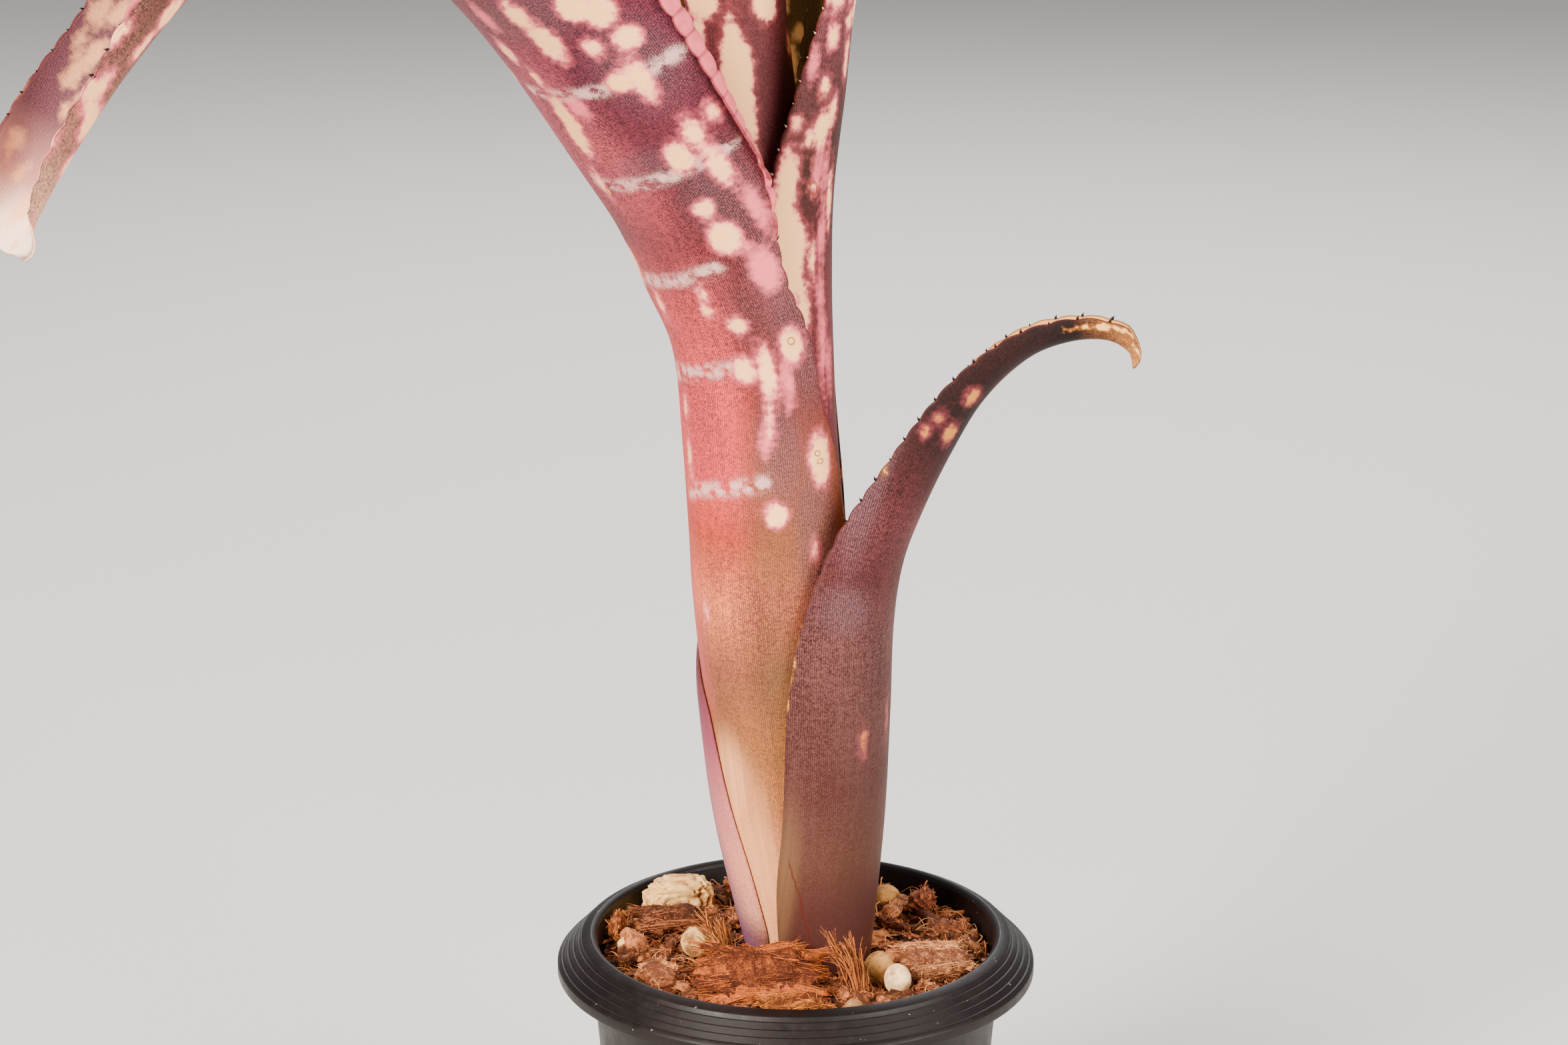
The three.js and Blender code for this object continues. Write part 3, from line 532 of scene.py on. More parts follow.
CRUMB_HUSK = ("crumb_husk", "c06c3c", "341408")
LOOSE_HUSK = ("loose_husk", "d4884c", "54280f")
BED_STOPS = [(0, "24120a"), (0.5, "5a3018"), (1, "a8683a")]
STEM_DARK = "4a2a14"
STEM_LIGHT = "9c7040"


# Small helpers

def linear(code):
    """An sRGB hex colour as linear red, green, blue and alpha."""
    channels = [int(code[i:i + 2], 16) / 255 for i in (0, 2, 4)]
    return tuple(c / 12.92 if c <= 0.04045 else ((c + 0.055) / 1.055) ** 2.4 for c in channels) + (1,)


def blend(low, high, share):
    return low + (high - low) * share


def smooth(value, low, high):
    share = np.clip((value - low) / (high - low), 0, 1)
    return share * share * (3 - 2 * share)


def unit(vectors):
    return vectors / np.maximum(np.linalg.norm(vectors, axis=-1, keepdims=True), 1e-9)


def named(keys, table):
    """Each row of a table as its name and its values by key."""
    return [(name, dict(zip(keys, row))) for name, row in table.items()]


def turned(points, yaw, tilt=0):
    """Points tilted about X, then turned about Z, in degrees."""
    c, s = math.cos(math.radians(tilt)), math.sin(math.radians(tilt))
    tilted = points @ np.array([[1, 0, 0], [0, c, s], [0, -s, c]])
    c, s = math.cos(math.radians(yaw)), math.sin(math.radians(yaw))
    return tilted @ np.array([[c, s, 0], [-s, c, 0], [0, 0, 1]])


def make_object(name, points, faces, attributes=None, smooth_shaded=True):
    """A mesh object in metres from points in millimetres, with float attributes on its points."""
    mesh = bpy.data.meshes.new(name)
    mesh.from_pydata((np.asarray(points) * MM).tolist(), [], faces)
    for key, values in (attributes or {}).items():
        layer = mesh.attributes.new(key, "FLOAT", "POINT")
        layer.data.foreach_set("value", np.asarray(values, np.float32).ravel())
    mesh.polygons.foreach_set("use_smooth", [smooth_shaded] * len(mesh.polygons))
    mesh.update()
    piece = bpy.data.objects.new(name, mesh)
    bpy.context.scene.collection.objects.link(piece)
    return piece


def repaint(piece, material):
    piece.data.materials.clear()
    piece.data.materials.append(material)


def dress(piece, material, replaced=()):
    repaint(piece, material)
    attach(piece, BODY)
    if replaced:
        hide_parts(*replaced)


def turns(count):
    """Angles spread evenly round a circle."""
    return TURN * np.arange(count) / count


def ring_faces(first, rings, sides):
    """Faces between rings of points that follow each other, from the first point on."""
    faces = []
    for ring in range(first, first + (rings - 1) * sides, sides):
        for k in range(sides):
            a, b = ring + k, ring + (k + 1) % sides
            faces.append((a, b, b + sides, a + sides))
    return faces


def tube_faces(first, rings, sides):
    """Faces of a closed tube: its rings and both of its flat ends."""
    last = first + (rings - 1) * sides
    start_cap, end_cap = range(first, first + sides), range(last, last + sides)
    return ring_faces(first, rings, sides) + [tuple(reversed(start_cap)), tuple(end_cap)]


# Curves

def catmull_rom(knots, samples):
    knots = np.asarray(knots, float)
    padded = np.vstack([2 * knots[0] - knots[1], knots, 2 * knots[-1] - knots[-2]])
    place = np.linspace(0, len(knots) - 1, samples + 1)
    index = np.minimum(place.astype(int), len(knots) - 2)
    t = (place - index)[:, None]
    a, b, c, d = (padded[index + i] for i in range(4))
    square, cube = 2 * a - 5 * b + 4 * c - d, 3 * b - a - 3 * c + d
    return 0.5 * (2 * b + (c - a) * t + square * t ** 2 + cube * t ** 3)


def profile(points, x):
    """A smooth curve through (x, value) points that never overshoots them."""
    places, values = np.asarray(points, float).T
    x = np.clip(x, places[0], places[-1])
    step = np.diff(places)
    rise = np.diff(values) / step
    tangent = np.empty(len(places))
    tangent[0], tangent[-1] = rise[0], rise[-1]
    before, after = rise[:-1], rise[1:]
    product = before * after
    total = np.where(before + after == 0, 1, before + after)
    tangent[1:-1] = np.where(product <= 0, 0, 2 * product / total)
    i = np.clip(np.searchsorted(places, x, side="right") - 1, 0, len(places) - 2)
    t = (x - places[i]) / step[i]
    ease = t * t * (3 - 2 * t)
    bend = t * (1 - t) * ((1 - t) * tangent[i] - t * tangent[i + 1])
    return blend(values[i], values[i + 1], ease) + step[i] * bend


# Leaf shapes

def spine_of(leaf):
    """The leaf's spine as its length from the foot, place and slope at each sample."""
    tube = []
    if leaf["layer"] is not None:
        inset = leaf["layer"] * LAYER
        tube = [(r + inset, up, r + inset) for r, up in TUBE if up <= leaf["tube_top"]]
    out, up, radius = catmull_rom(tube + leaf["spine"], SPINE_SAMPLES).T
    along = np.concatenate([[0], np.cumsum(np.hypot(np.diff(out), np.diff(up)))])
    slope_out, slope_up = np.gradient(out, along), np.gradient(up, along)
    return {
        "along": along, "out": out, "up": up, "radius": radius,
        "slope_out": slope_out, "slope_up": slope_up, "length": along[-1],
    }


def leaf_points(leaf, spine, along, arc, proud):
    """Outer points, outward normals and sideways directions at lengths and arcs on a leaf."""
    at = {key: np.interp(along, spine["along"], spine[key])
          for key in ("out", "up", "radius", "slope_out", "slope_up")}
    azimuth = math.radians(leaf["azimuth"])
    level = np.array([math.cos(azimuth), math.sin(azimuth), 0])
    across = np.array([-math.sin(azimuth), math.cos(azimuth), 0])
    rise = np.array([0, 0, 1])
    square = smooth(at["up"], LEVEL_ROWS_TO, SQUARE_ROWS_FROM)[..., None]
    slope_up, slope_out = at["slope_up"][..., None], at["slope_out"][..., None]
    outward = unit(level * blend(1, slope_up, square) - rise * slope_out * square)
    radius = at["radius"][..., None]
    angle = np.asarray(arc)[..., None] / radius
    normal = across * np.sin(angle) + outward * np.cos(angle)
    sideways = across * np.cos(angle) - outward * np.sin(angle)
    middle = level * at["out"][..., None] + rise * at["up"][..., None] - outward * radius
    points = middle + normal * (radius + np.asarray(proud)[..., None])
    points[..., 0] += AXIS_X + LEAN * (points[..., 2] - INNER_EDGE_HEIGHT)
    return points, normal, sideways


def leaf_rows(leaf, length):
    blade_row = TOOTH_PITCH / ROWS_PER_TOOTH
    sheath = np.linspace(0, leaf["teeth_from"], round(leaf["teeth_from"] / SHEATH_ROW), endpoint=False)
    blade = np.linspace(leaf["teeth_from"], length, round((length - leaf["teeth_from"]) / blade_row) + 1)
    return np.concatenate([sheath, blade])


def tooth_wave(leaf, along):
    """0 at each tooth and 1 midway between two of them."""
    return np.abs(np.sin(math.pi * (along - leaf["teeth_from"]) / TOOTH_PITCH))


def half_width(leaf, side, along, length):
    """The leaf's half width with its lobes, which end in a narrow tip."""
    width = profile(leaf["left" if side < 0 else "right"], along)
    ramp = np.clip((along - leaf["teeth_from"]) / (2 * TOOTH_PITCH), 0, 1)
    wave = tooth_wave(leaf, along) ** LOBE_POWER
    taper = np.sqrt(np.clip((length - along) / TIP_TAPER, TIP_LEAST, 1))
    return (width + LOBE * ramp * wave) * taper


def strip_lobes(leaf, along):
    """How far the rolled strip's scalloped edge reaches, as a share of its width."""
    wave = tooth_wave(leaf, along) ** STRIP_POWER
    return blend(STRIP_NOTCH, STRIP_BULGE, wave)[:, None]


def rolled_margin(leaf, along, arc, proud):
    """The columns past a margin that rolls outward: flat, bent, and back over the leaf."""
    flat_share = np.linspace(0, 1, STRIP_COLUMNS + 1)[None, 1:]
    bend_share = np.linspace(0, 1, ROLL_COLUMNS + 1)[None, 1:]
    strip = profile(leaf["roll"], along)[:, None]
    flat = arc[:, -1:] + strip * flat_share + LEAST_ROLL
    angle = math.pi * np.clip(strip / 2, LEAST_ROLL, 1) * bend_share
    heading = angle[:, -1:]
    bend_arc = flat[:, -1:] + ROLL_RADIUS * np.sin(angle)
    bend_proud = ROLL_RADIUS * (1 - np.cos(angle))
    back = np.maximum(strip * strip_lobes(leaf, along), LEAST_ROLL) * flat_share
    back_arc = bend_arc[:, -1:] + back * np.cos(heading)
    back_proud = bend_proud[:, -1:] + back * np.sin(heading)
    lifts = np.hstack([0 * flat, bend_proud, back_proud])
    turn = np.hstack([0 * flat, angle, heading + 0 * back])
    return np.hstack([flat, bend_arc, back_arc]), proud[:, -1:] + lifts, turn


def leaf_section(leaf, along, length):
    """Arc, height off the leaf and turn of the sheet for each row and column, from left to right."""
    ramp = np.clip((along - leaf["teeth_from"]) / REFLEX_RAMP, 0, 1)[:, None]
    left = half_width(leaf, -1, along, length)[:, None]
    right = half_width(leaf, 1, along, length)[:, None]
    share = np.linspace(0, 1, leaf["columns"] + 1)[None, :]
    arc = np.hstack([-left * share[:, ::-1], right * share[:, 1:]])
    lift = leaf["reflex"] * ramp * share[:, 1:] ** REFLEX_POWER
    fade_from, fade_to = (leaf["teeth_from"] - before for before in PRESS_FADE)
    low = 1 - smooth(along, fade_from, fade_to)[:, None]
    sink = -leaf.get("press", 0) * low * share ** PRESS_POWER
    proud = np.hstack([sink[:, ::-1] * np.ones_like(left), (lift + sink[:, 1:]) * np.ones_like(right)])
    turn = np.zeros_like(arc)
    if "roll" not in leaf:
        return arc, proud, turn
    margin = rolled_margin(leaf, along, arc, proud)
    return [np.hstack(pair) for pair in zip((arc, proud, turn), margin)]


def grid_faces(rows, columns, first, flip):
    faces = []
    for i in range(rows - 1):
        for j in range(columns - 1):
            a = first + i * columns + j
            quad = (a, a + 1, a + columns + 1, a + columns)
            faces.append(quad[::-1] if flip else quad)
    return faces


def sheet_faces(rows, columns):
    """Faces of a closed sheet: outer grid, inner grid and the rim between them."""
    size = rows * columns
    faces = grid_faces(rows, columns, 0, False) + grid_faces(rows, columns, size, True)
    bottom = [j for j in range(columns)]
    right = [i * columns + columns - 1 for i in range(1, rows)]
    top = [(rows - 1) * columns + j for j in range(columns - 2, -1, -1)]
    left = [i * columns for i in range(rows - 2, 0, -1)]
    ring = bottom + right + top + left
    for a, b in zip(ring, ring[1:] + ring[:1]):
        faces.append((b, a, a + size, b + size))
    return faces


def tooth_parts(edge, outward, upward, normal, scale):
    """One small hooked tooth per row of edge points: two rings of four and a tip."""
    half_length, half_depth, length = (share * scale for share in TOOTH_SHAPE)
    points = []
    for reach, climb, size in TOOTH_RINGS:
        middle = edge + outward * reach * length + upward * climb * length
        for a, b in ((1, 0), (0, 1), (-1, 0), (0, -1)):
            points.append(middle + upward * a * half_length * size + normal * b * half_depth * size)
    points.append(edge + outward * length * TOOTH_TIP[0] + upward * length * TOOTH_TIP[1])
    ring = [(k, (k + 1) % 4, 4 + (k + 1) % 4, 4 + k) for k in range(4)]
    cap = [(4 + k, 4 + (k + 1) % 4, 8) for k in range(4)]
    return np.stack(points, 1), ring + cap + [(3, 2, 1, 0)]


def oval_share(along, arc, oval):
    """How far out of an oval each place is: 0 at its middle and 1 on its edge."""
    at, side, half_length, half_wide = oval
    return np.hypot((along - at) / half_length, (arc - side) / half_wide)


def mark_distance(along, arc, marks):
    """How far inside the marks a place is, in millimetres, negative outside."""
    total = np.full(np.shape(along), math.exp(-MARK_REACH / MARK_JOIN))
    for mark in marks:
        inside = np.maximum((1 - oval_share(along, arc, mark)) * min(mark[2:]), -MARK_REACH)
        total += np.exp(inside / MARK_JOIN)
    return MARK_JOIN * np.log(total)


def zone_strength(along, arc, zones):
    """1 in the middle of a soft zone, 0 outside all of them."""
    strength = np.zeros(np.shape(along))
    for zone in zones:
        strength = np.maximum(strength, smooth(-oval_share(along, arc, zone), *ZONE_FADE))
    return strength


def band_strength(along, arc, bands):
    strength = np.zeros(np.shape(along))
    for along_a, arc_a, along_b, arc_b in bands:
        share = np.clip((arc - arc_a) / (arc_b - arc_a), 0, 1)
        off = (along - blend(along_a, along_b, share)) / BAND_WIDTH
        half = abs(arc_b - arc_a) / 2
        reach = smooth(-np.abs(arc - (arc_a + arc_b) / 2), -half - BAND_FADE, -half)
        strength = np.maximum(strength, np.exp(-off * off) * reach)
    return strength


def scattered_marks(random, zones):
    """Marks at random places of each (low, high, left, right, count)."""
    marks = []
    for low, high, left, right, count in zones:
        for _ in range(count):
            length = random.uniform(*SPOT_LENGTH)
            place = (random.uniform(low, high), random.uniform(left, right))
            marks.append((*place, length, length * random.uniform(*SPOT_SLIMNESS)))
    return marks


def leaf_teeth(leaf, along, arc, outer, inner, random):
    """Teeth at the notches of both margins: points, faces, and the length and arc of every point."""
    rows, columns = arc.shape
    notches = np.arange(rows)[along >= leaf["teeth_from"]][ROWS_PER_TOOTH::ROWS_PER_TOOTH]
    notches = notches[notches < rows - ROWS_PER_TOOTH]
    middle = (outer + inner) / 2
    upward = unit(np.gradient(middle, axis=0))[notches]
    normal = unit(outer - inner)[notches]
    sides = [(0, 1, 1), (columns - 1, columns - 2, 1)]
    if "roll" in leaf:
        fold = 2 * leaf["columns"] + STRIP_COLUMNS
        sides[1] = (fold, fold - 1, FOLD_TOOTH)
    start, points, faces, lengths, arcs = 2 * arc.size, [], [], [], []
    for column, neighbour, growth in sides:
        size = growth * leaf.get("tooth", TOOTH_SIZE) * random.uniform(*TOOTH_VARIES, len(notches))
        edge = middle[notches, column]
        heading = unit(edge - middle[notches, neighbour])
        teeth, parts = tooth_parts(edge, heading, upward[:, column], normal[:, column], size[:, None])
        for _ in notches:
            faces += [tuple(start + corner for corner in part) for part in parts]
            start += TOOTH_POINTS
        points.append(teeth.reshape(-1, 3))
        lengths.append(np.repeat(along[notches], TOOTH_POINTS))
        arcs.append(np.repeat(arc[notches, column], TOOTH_POINTS))
    return points, faces, lengths, arcs


def leaf_fields(leaf, along, arc, turn, random):
    """What the paint needs to know at every point of a leaf's grid."""
    marks = scattered_marks(random, leaf.get("scattered", []))
    main = 2 * leaf["columns"] + 1
    edge = np.minimum(arc - arc[:, :1], np.abs(arc[:, -1:] - arc))
    edge = np.where(along < leaf["teeth_from"] - EDGE_FADE, np.maximum(edge, PLAIN_EDGE), edge)
    strip = np.zeros_like(arc)
    if arc.shape[1] > main:
        free = np.abs(arc - arc[:, -1:]) + PLAIN_EDGE * (turn < math.pi / 2)
        edge[:, main:] = free[:, main:]
        strip[:, main:] = smooth(turn[:, main:], *STRIP_FROM)
    # Soft zones of haze, pale patches and the pinker painted sheen.
    zones = {key: zone_strength(along, arc, leaf.get(key, [])) for key in ("haze", "pale", "painted_sheen")}
    return {
        "cream": mark_distance(along, arc, leaf.get("cream", []) + marks),
        "pink": mark_distance(along, arc, leaf.get("pink", []) + marks[::PINK_EVERY]),
        "crust": mark_distance(along, arc, leaf.get("crust", [])),
        "band": band_strength(along, arc, leaf.get("bands", [])),
        **zones,
        # Share of the far side's painted shade.
        "far": smooth(arc - profile(leaf.get("far_from", NO_SHADED_SIDE), along), -SHADED_SIDE_FADE, SHADED_SIDE_FADE),
        "edge": edge,
        "strip": strip,
    }


def leaf_mesh(name, leaf, random):
    spine = spine_of(leaf)
    along = leaf_rows(leaf, spine["length"])
    arc, proud, turn = leaf_section(leaf, along, spine["length"])
    rows, columns = arc.shape
    lengths = np.repeat(along[:, None], columns, 1)
    outer, normal, sideways = leaf_points(leaf, spine, lengths, arc, proud)
    facing = normal * np.cos(turn)[..., None] - sideways * np.sin(turn)[..., None]
    main = 2 * leaf["columns"] + 1
    depth = np.full(columns, MARGIN)
    depth[:main] = blend(BLADE, MARGIN, np.abs(np.linspace(-1, 1, main)) ** THINNING_POWER)
    inner = outer - facing * depth[None, :, None]
    faces = sheet_faces(rows, columns)
    teeth, tooth_faces, tooth_lengths, tooth_arcs = leaf_teeth(leaf, along, arc, outer, inner, random)
    points = np.vstack([outer.reshape(-1, 3), inner.reshape(-1, 3)] + teeth)
    extra = sum(len(group) for group in teeth)
    attributes = {
        "along": np.concatenate([np.tile(lengths.ravel(), 2)] + tooth_lengths),
        "arc": np.concatenate([np.tile(arc.ravel(), 2)] + tooth_arcs),
        "inside": np.repeat([0.0, 1.0, 0.0], [arc.size, arc.size, extra]),
        "tooth": np.repeat([0.0, 1.0], [2 * arc.size, extra]),
    }
    for key, field in leaf_fields(leaf, lengths, arc, turn, random).items():
        attributes[key] = np.concatenate([np.tile(field.ravel(), 2), np.full(extra, OFF_MARKS)])
    return make_object(name + "_blade", points, faces + tooth_faces, attributes)


# Materials

class Shader:
    """A short way to write a material's nodes."""

    def __init__(self, name, roughness=0.6, specular=0.4):
        self.material = bpy.data.materials.new(name)
        self.material.use_nodes = True
        self.tree = self.material.node_tree
        self.surface = self.tree.nodes["Principled BSDF"]
        self.surface.inputs["Roughness"].default_value = roughness
        self.surface.inputs["Specular IOR Level"].default_value = specular

    def put(self, socket, value):
        """Feeds a socket with another socket, a number or a hex colour."""
        if isinstance(value, bpy.types.NodeSocket):
            self.tree.links.new(value, socket)
        else:
            socket.default_value = linear(value) if isinstance(value, str) else value

    def math(self, operation, a, b=0.0):
        node = self.tree.nodes.new("ShaderNodeMath")
        node.operation = operation
        self.put(node.inputs[0], a)
        self.put(node.inputs[1], b)
        return node.outputs[0]

    def times(self, a, b):
        return self.math("MULTIPLY", a, b)

    def less(self, a, b):
        return self.math("SUBTRACT", a, b)

    def size(self, value):
        return self.math("ABSOLUTE", value)

    def total(self, *terms):
        """The sum of values, each times its weight."""
        result = 0.0
        for value, weight in terms:
            node = self.tree.nodes.new("ShaderNodeMath")
            node.operation = "MULTIPLY_ADD"
            self.put(node.inputs[0], value)
            self.put(node.inputs[1], weight)
            self.put(node.inputs[2], result)
            result = node.outputs[0]
        return result

    def attribute(self, name):
        node = self.tree.nodes.new("ShaderNodeAttribute")
        node.attribute_name = name
        return node.outputs["Fac"]

    def vector(self, x, y, z=0.0):
        node = self.tree.nodes.new("ShaderNodeCombineXYZ")
        for socket, value in zip(node.inputs, (x, y, z)):
            self.put(socket, value)
        return node.outputs[0]

    def place(self):
        return self.tree.nodes.new("ShaderNodeTexCoord").outputs["Object"]

    def noise(self, vector, scale, detail=2.0, roughness=0.5):
        node = self.tree.nodes.new("ShaderNodeTexNoise")
        self.put(node.inputs["Vector"], vector)
        node.inputs["Scale"].default_value = scale
        node.inputs["Detail"].default_value = detail
        node.inputs["Roughness"].default_value = roughness
        return node.outputs["Fac"]

    def step(self, value, low, high):
        """0 below low, 1 above high and smooth between."""
        node = self.tree.nodes.new("ShaderNodeMapRange")
        node.interpolation_type = "SMOOTHSTEP"
        self.put(node.inputs["Value"], value)
        node.inputs["From Min"].default_value = low
        node.inputs["From Max"].default_value = high
        return node.outputs["Result"]

    def mix(self, share, low, high, weight=None):
        """The low colour where the share is 0 and the high one where it is 1, times the weight."""
        if weight is not None:
            share = self.times(share, weight)
        node = self.tree.nodes.new("ShaderNodeMix")
        node.data_type = "RGBA"
        self.put(node.inputs["Factor"], share)
        self.put(node.inputs[6], low)
        self.put(node.inputs[7], high)
        return node.outputs[2]

    def wash(self, colour, mask, fade, paint, weight=None):
        """A colour with paint over it where the mask passes the two levels of a fade."""
        return self.mix(self.step(mask, *fade), colour, paint, weight)

    def ramp(self, value, stops):
        node = self.tree.nodes.new("ShaderNodeValToRGB")
        self.put(node.inputs["Fac"], value)
        elements = node.color_ramp.elements
        elements[0].position, elements[0].color = stops[0][0], linear(stops[0][1])
        elements[1].position, elements[1].color = stops[-1][0], linear(stops[-1][1])
        for position, code in stops[1:-1]:
            elements.new(position).color = linear(code)
        return node.outputs["Color"]

    def finish(self, colour, height=None, bump=None, roughness=None):
        """The material, with its colour and, where given, a height for its bump and a roughness."""
        self.put(self.surface.inputs["Base Color"], colour)
        if roughness is not None:
            self.put(self.surface.inputs["Roughness"], roughness)
        if height is not None:
            node = self.tree.nodes.new("ShaderNodeBump")
            node.inputs["Strength"].default_value, node.inputs["Distance"].default_value = bump
            self.put(node.inputs["Height"], height)
            self.put(self.surface.inputs["Normal"], node.outputs[0])
        return self.material


# Each leaf's paint up its length, as (share of the length, dark, light), and what is special about it.
# The near side is left of the line that each leaf's table gives for its far side, and the far side's paint
# is darker: painted shade on the side turned from the key light.
# "haze" is a dark, a light and a share.
PALETTES = {
    "leaf_front": {
        "near": [
            (0, "a06c44", "ec9c64"), (0.07, "986440", "e4905c"), (0.113, "74442a", "b87038"),
            (0.153, "60422a", "a45c24"), (0.2, "683424", "98583c"), (0.24, "7e4034", "f47e48"),
            (0.278, "783028", "cc4028"), (0.314, "8a2e36", "ee4a46"), (0.357, "7a2e34", "ee444a"),
            (0.408, "62262c", "d84a4c"), (0.455, "4c2026", "983a42"), (0.504, "58242c", "cc4c5a"),
            (0.535, "58222c", "c6505c"), (0.584, "441828", "a84454"), (0.75, "401a1c", "70302c"),
            (0.88, "402420", "805040"), (0.95, "5c342c", "a8705c"), (1, "a06c58", "fcc8a0"),
        ],
        # The far side's darker paint: painted shade on the side turned from the key light.
        "far": [
            (0.153, "60422a", "a45c24"), (0.2, "54311f", "724d2e"), (0.24, "5a2b1f", "a0583c"),
            (0.278, "5e3626", "8f4e2b"), (0.314, "683528", "904c38"), (0.357, "502420", "7e2e26"),
            (0.408, "422225", "8c4244"), (0.45, "321014", "86262c"), (0.504, "34141a", "6e2a38"),
            (0.584, "2e0e1a", "722438"), (1, "482022", "804438"),
        ],
        "inner": [
            (0, "4c3010"), (0.5, "6a3c24"), (0.68, "8c4c40"), (0.8, "90544c"), (0.86, "583440"),
            (0.93, "5c3844"), (0.965, "b88078"), (0.985, "fcdcc0"), (1, "fcdcc0"),
        ],
        "halo": 0.7, "tooth": "140a08", "inner_marks": ("a86450", "f0a878"), "pale": "f4a872",
    },
    "leaf_right": {
        "near": [
            (0, "58321a", "905f2c"), (0.2, "583020", "8a5434"), (0.4, "501a20", "803640"),
            (0.56, "44191c", "6c2e34"), (0.66, "2c110c", "40261c"), (0.74, "3c181a", "683638"),
            (0.88, "4a2028", "844450"), (1, "4c222a", "8c4c58"),
        ],
        "inner": [(0, "3c2408"), (0.6, "4c300c"), (1, "644818")],
        "halo": 0.45, "tooth": "c09880", "inner_marks": ("8c7424", "dca85c"),
    },
    "leaf_centre": {
        "near": [
            (0, "70401c", "b07838"), (0.4, "54201f", "7a3838"), (0.75, "40161a", "602a2c"),
            (1, "582024", "804040"),
        ],
        "inner": [(0, "3c2408"), (0.6, "4c300c"), (1, "644818")],
        "halo": 0.25, "tooth": "241008", "inner_marks": ("8c7424", "dca85c"),
    },
    "leaf_back": {
        "near": [
            (0, "4c2828", "6c4440"), (0.045, "5c342c", "804c3c"), (0.068, "bc7460", "e09c7c"),
            (0.11, "c47060", "e09078"), (0.15, "ac5c5c", "c4746c"), (0.213, "7c344a", "8c3c4c"),
            (0.27, "48201e", "60302c"), (0.6, "2c1010", "542a2a"), (1, "482422", "703c38"),
        ],
        "inner": [(0, "3c2408"), (0.6, "543408"), (0.8, "442a08"), (1, "644818")],
        "halo": 0.5, "tooth": "140a08", "inner_marks": ("6c5414", "e8a860"),
        "haze": ("603854", "8c6284", 0.8),
    },
    "leaf_heart": {
        "near": [(0, "70401c", "b07838"), (0.5, "74382c", "a86450"), (1, "6c302c", "b06c5c")],
        "inner": [(0, "44300e"), (1, "60481c")],
        "halo": 0.5, "tooth": "140a08", "inner_marks": ("8c7424", "dca85c"),
    },
    "leaf_outer": {
        "near": [
            (0, "422216", "482624"), (0.12, "422216", "482627"), (0.19, "442613", "573430"),
            (0.28, "3c180f", "53312d"), (0.365, "371614", "603a34"), (0.46, "2f1010", "6c403c"),
            (0.53, "300e10", "5c2b2a"), (0.6, "341012", "6c3436"), (0.64, "260808", "542426"),
            (0.73, "140606", "280e0c"), (0.84, "140505", "2e1210"), (0.92, "080404", "1a0c0b"),
            (0.96, "44200e", "8c5830"), (1, "8c5830", "c88c50"),
        ],
        "inner": [(0, "5a4020"), (0.6, "a87444"), (0.85, "d49450"), (1, "f0b868")],
        "halo": 0.2, "tooth": "1c0c08", "inner_marks": ("a87038", "f0b868"), "pale": "705034",
        # The crease is a thin dark line of painted shade.
        "cream": ("b8782e", "94503a"), "crease": (12.7, 0.38, 8, 31),
    },
}
CREAM = "fcbc80"
CREAM_EDGE = "f49480"
PINK = "f4707c"
HALO = "d45c68"
SCURF = "dcaca4"
HAZE = ("381a22", "846064", 0.5)
# Pinker colour of the painted sheen on the front leaf, and how much of it is laid on.
PAINTED_SHEEN = "c4404c"
PAINTED_SHEEN_SHARE = 0.45
RING = "70360c"
# Painted shade of a crease up the outer leaf's foot.
CREASE_SHADE = "50180e"
CREASE_WIDTH = 0.3
CRUST = "e4a860"
CRUST_DARK = "7c4818"
STRIP_LIGHT = "dc606c"
STRIP_DARK = "7c2438"
MARGIN_DARK = "4a1012"

# Leaf texture: rates in turns of noise or rows a millimetre, fades as two levels of a mask
SLOW_RATE = 0.42
MAZE_ACROSS = 3.2
MAZE_ALONG = 1.3
MAZE_LINES = (0.0, 0.09)
ROW_RATE = 16
ROW_WANDER = 6.0
DOT_RATE = 2.7
DOT_SHARES = (0.3, 2.4)
DOT_FADE = (0.85, 1.95)
DUST_RATE = 5.2
LUMP_RATE = 0.85
MOTTLE_RATE = 1.9
BROAD_ALONG = 0.5
BROAD_RATE = 0.1
BROAD_FADE = (0.36, 0.64)
STREAK_ACROSS = 3
STREAK_ALONG = 0.06
STREAK_RATE = 0.3
STREAK_FADE = (0.4, 0.62)
TONE = {"maze": 0.22, "dots": 0.85, "broad": 0.24, "streak": 0.1, "mottle": 1.0, "lumps": 0.8, "base": -0.14}
SPECKLE = {"maze": 0.2, "dots": 0.8}
RELIEF = {"maze": 0.5, "dots": 0.5}
PALENESS = {"streak": 0.16, "base": 0.56}
WOBBLE = {"slow": 1.5, "lumps": 1.3, "maze": 0.08, "dust": 0.16, "base": -0.2}
CREASE_WANDER = 1.6
CREASE_CORE = 0.06
CREASE_END = 2
CREASE_SHARE = 0.75
RING_WANDER = 1.5
RING_FADE = (0.12, 0.4)
RING_SHARE = 0.7
BAND_BREAKS = (-0.3, 0.1)
SCURF_FADE = (0.52, 0.85)
SCURF_SHARE = 0.85
GRAIN_SHARES = (0.75, 0.5)
HALO_FADE = (-1.5, 0.2)
PINK_FADE = (-1.2, 0.9)
PINK_SHARE = 0.8
BORDER_FADE = (-0.6, 0.3)
CREAM_FADE = (-0.2, 0.6)
CRUST_EDGE = (-0.5, -0.2)
CRUST_FADE = (-0.2, 0.1)
CRUST_SHARE = 0.7
INNER_DOTS = 0.35
INNER_FADE = (-0.7, 0.8)
INNER_SHARE = 0.75
LOBE_FADE = (0.0, 0.4)
MARGIN_FADE = (0.05, 0.4)
MARGIN_SHARE = 0.7


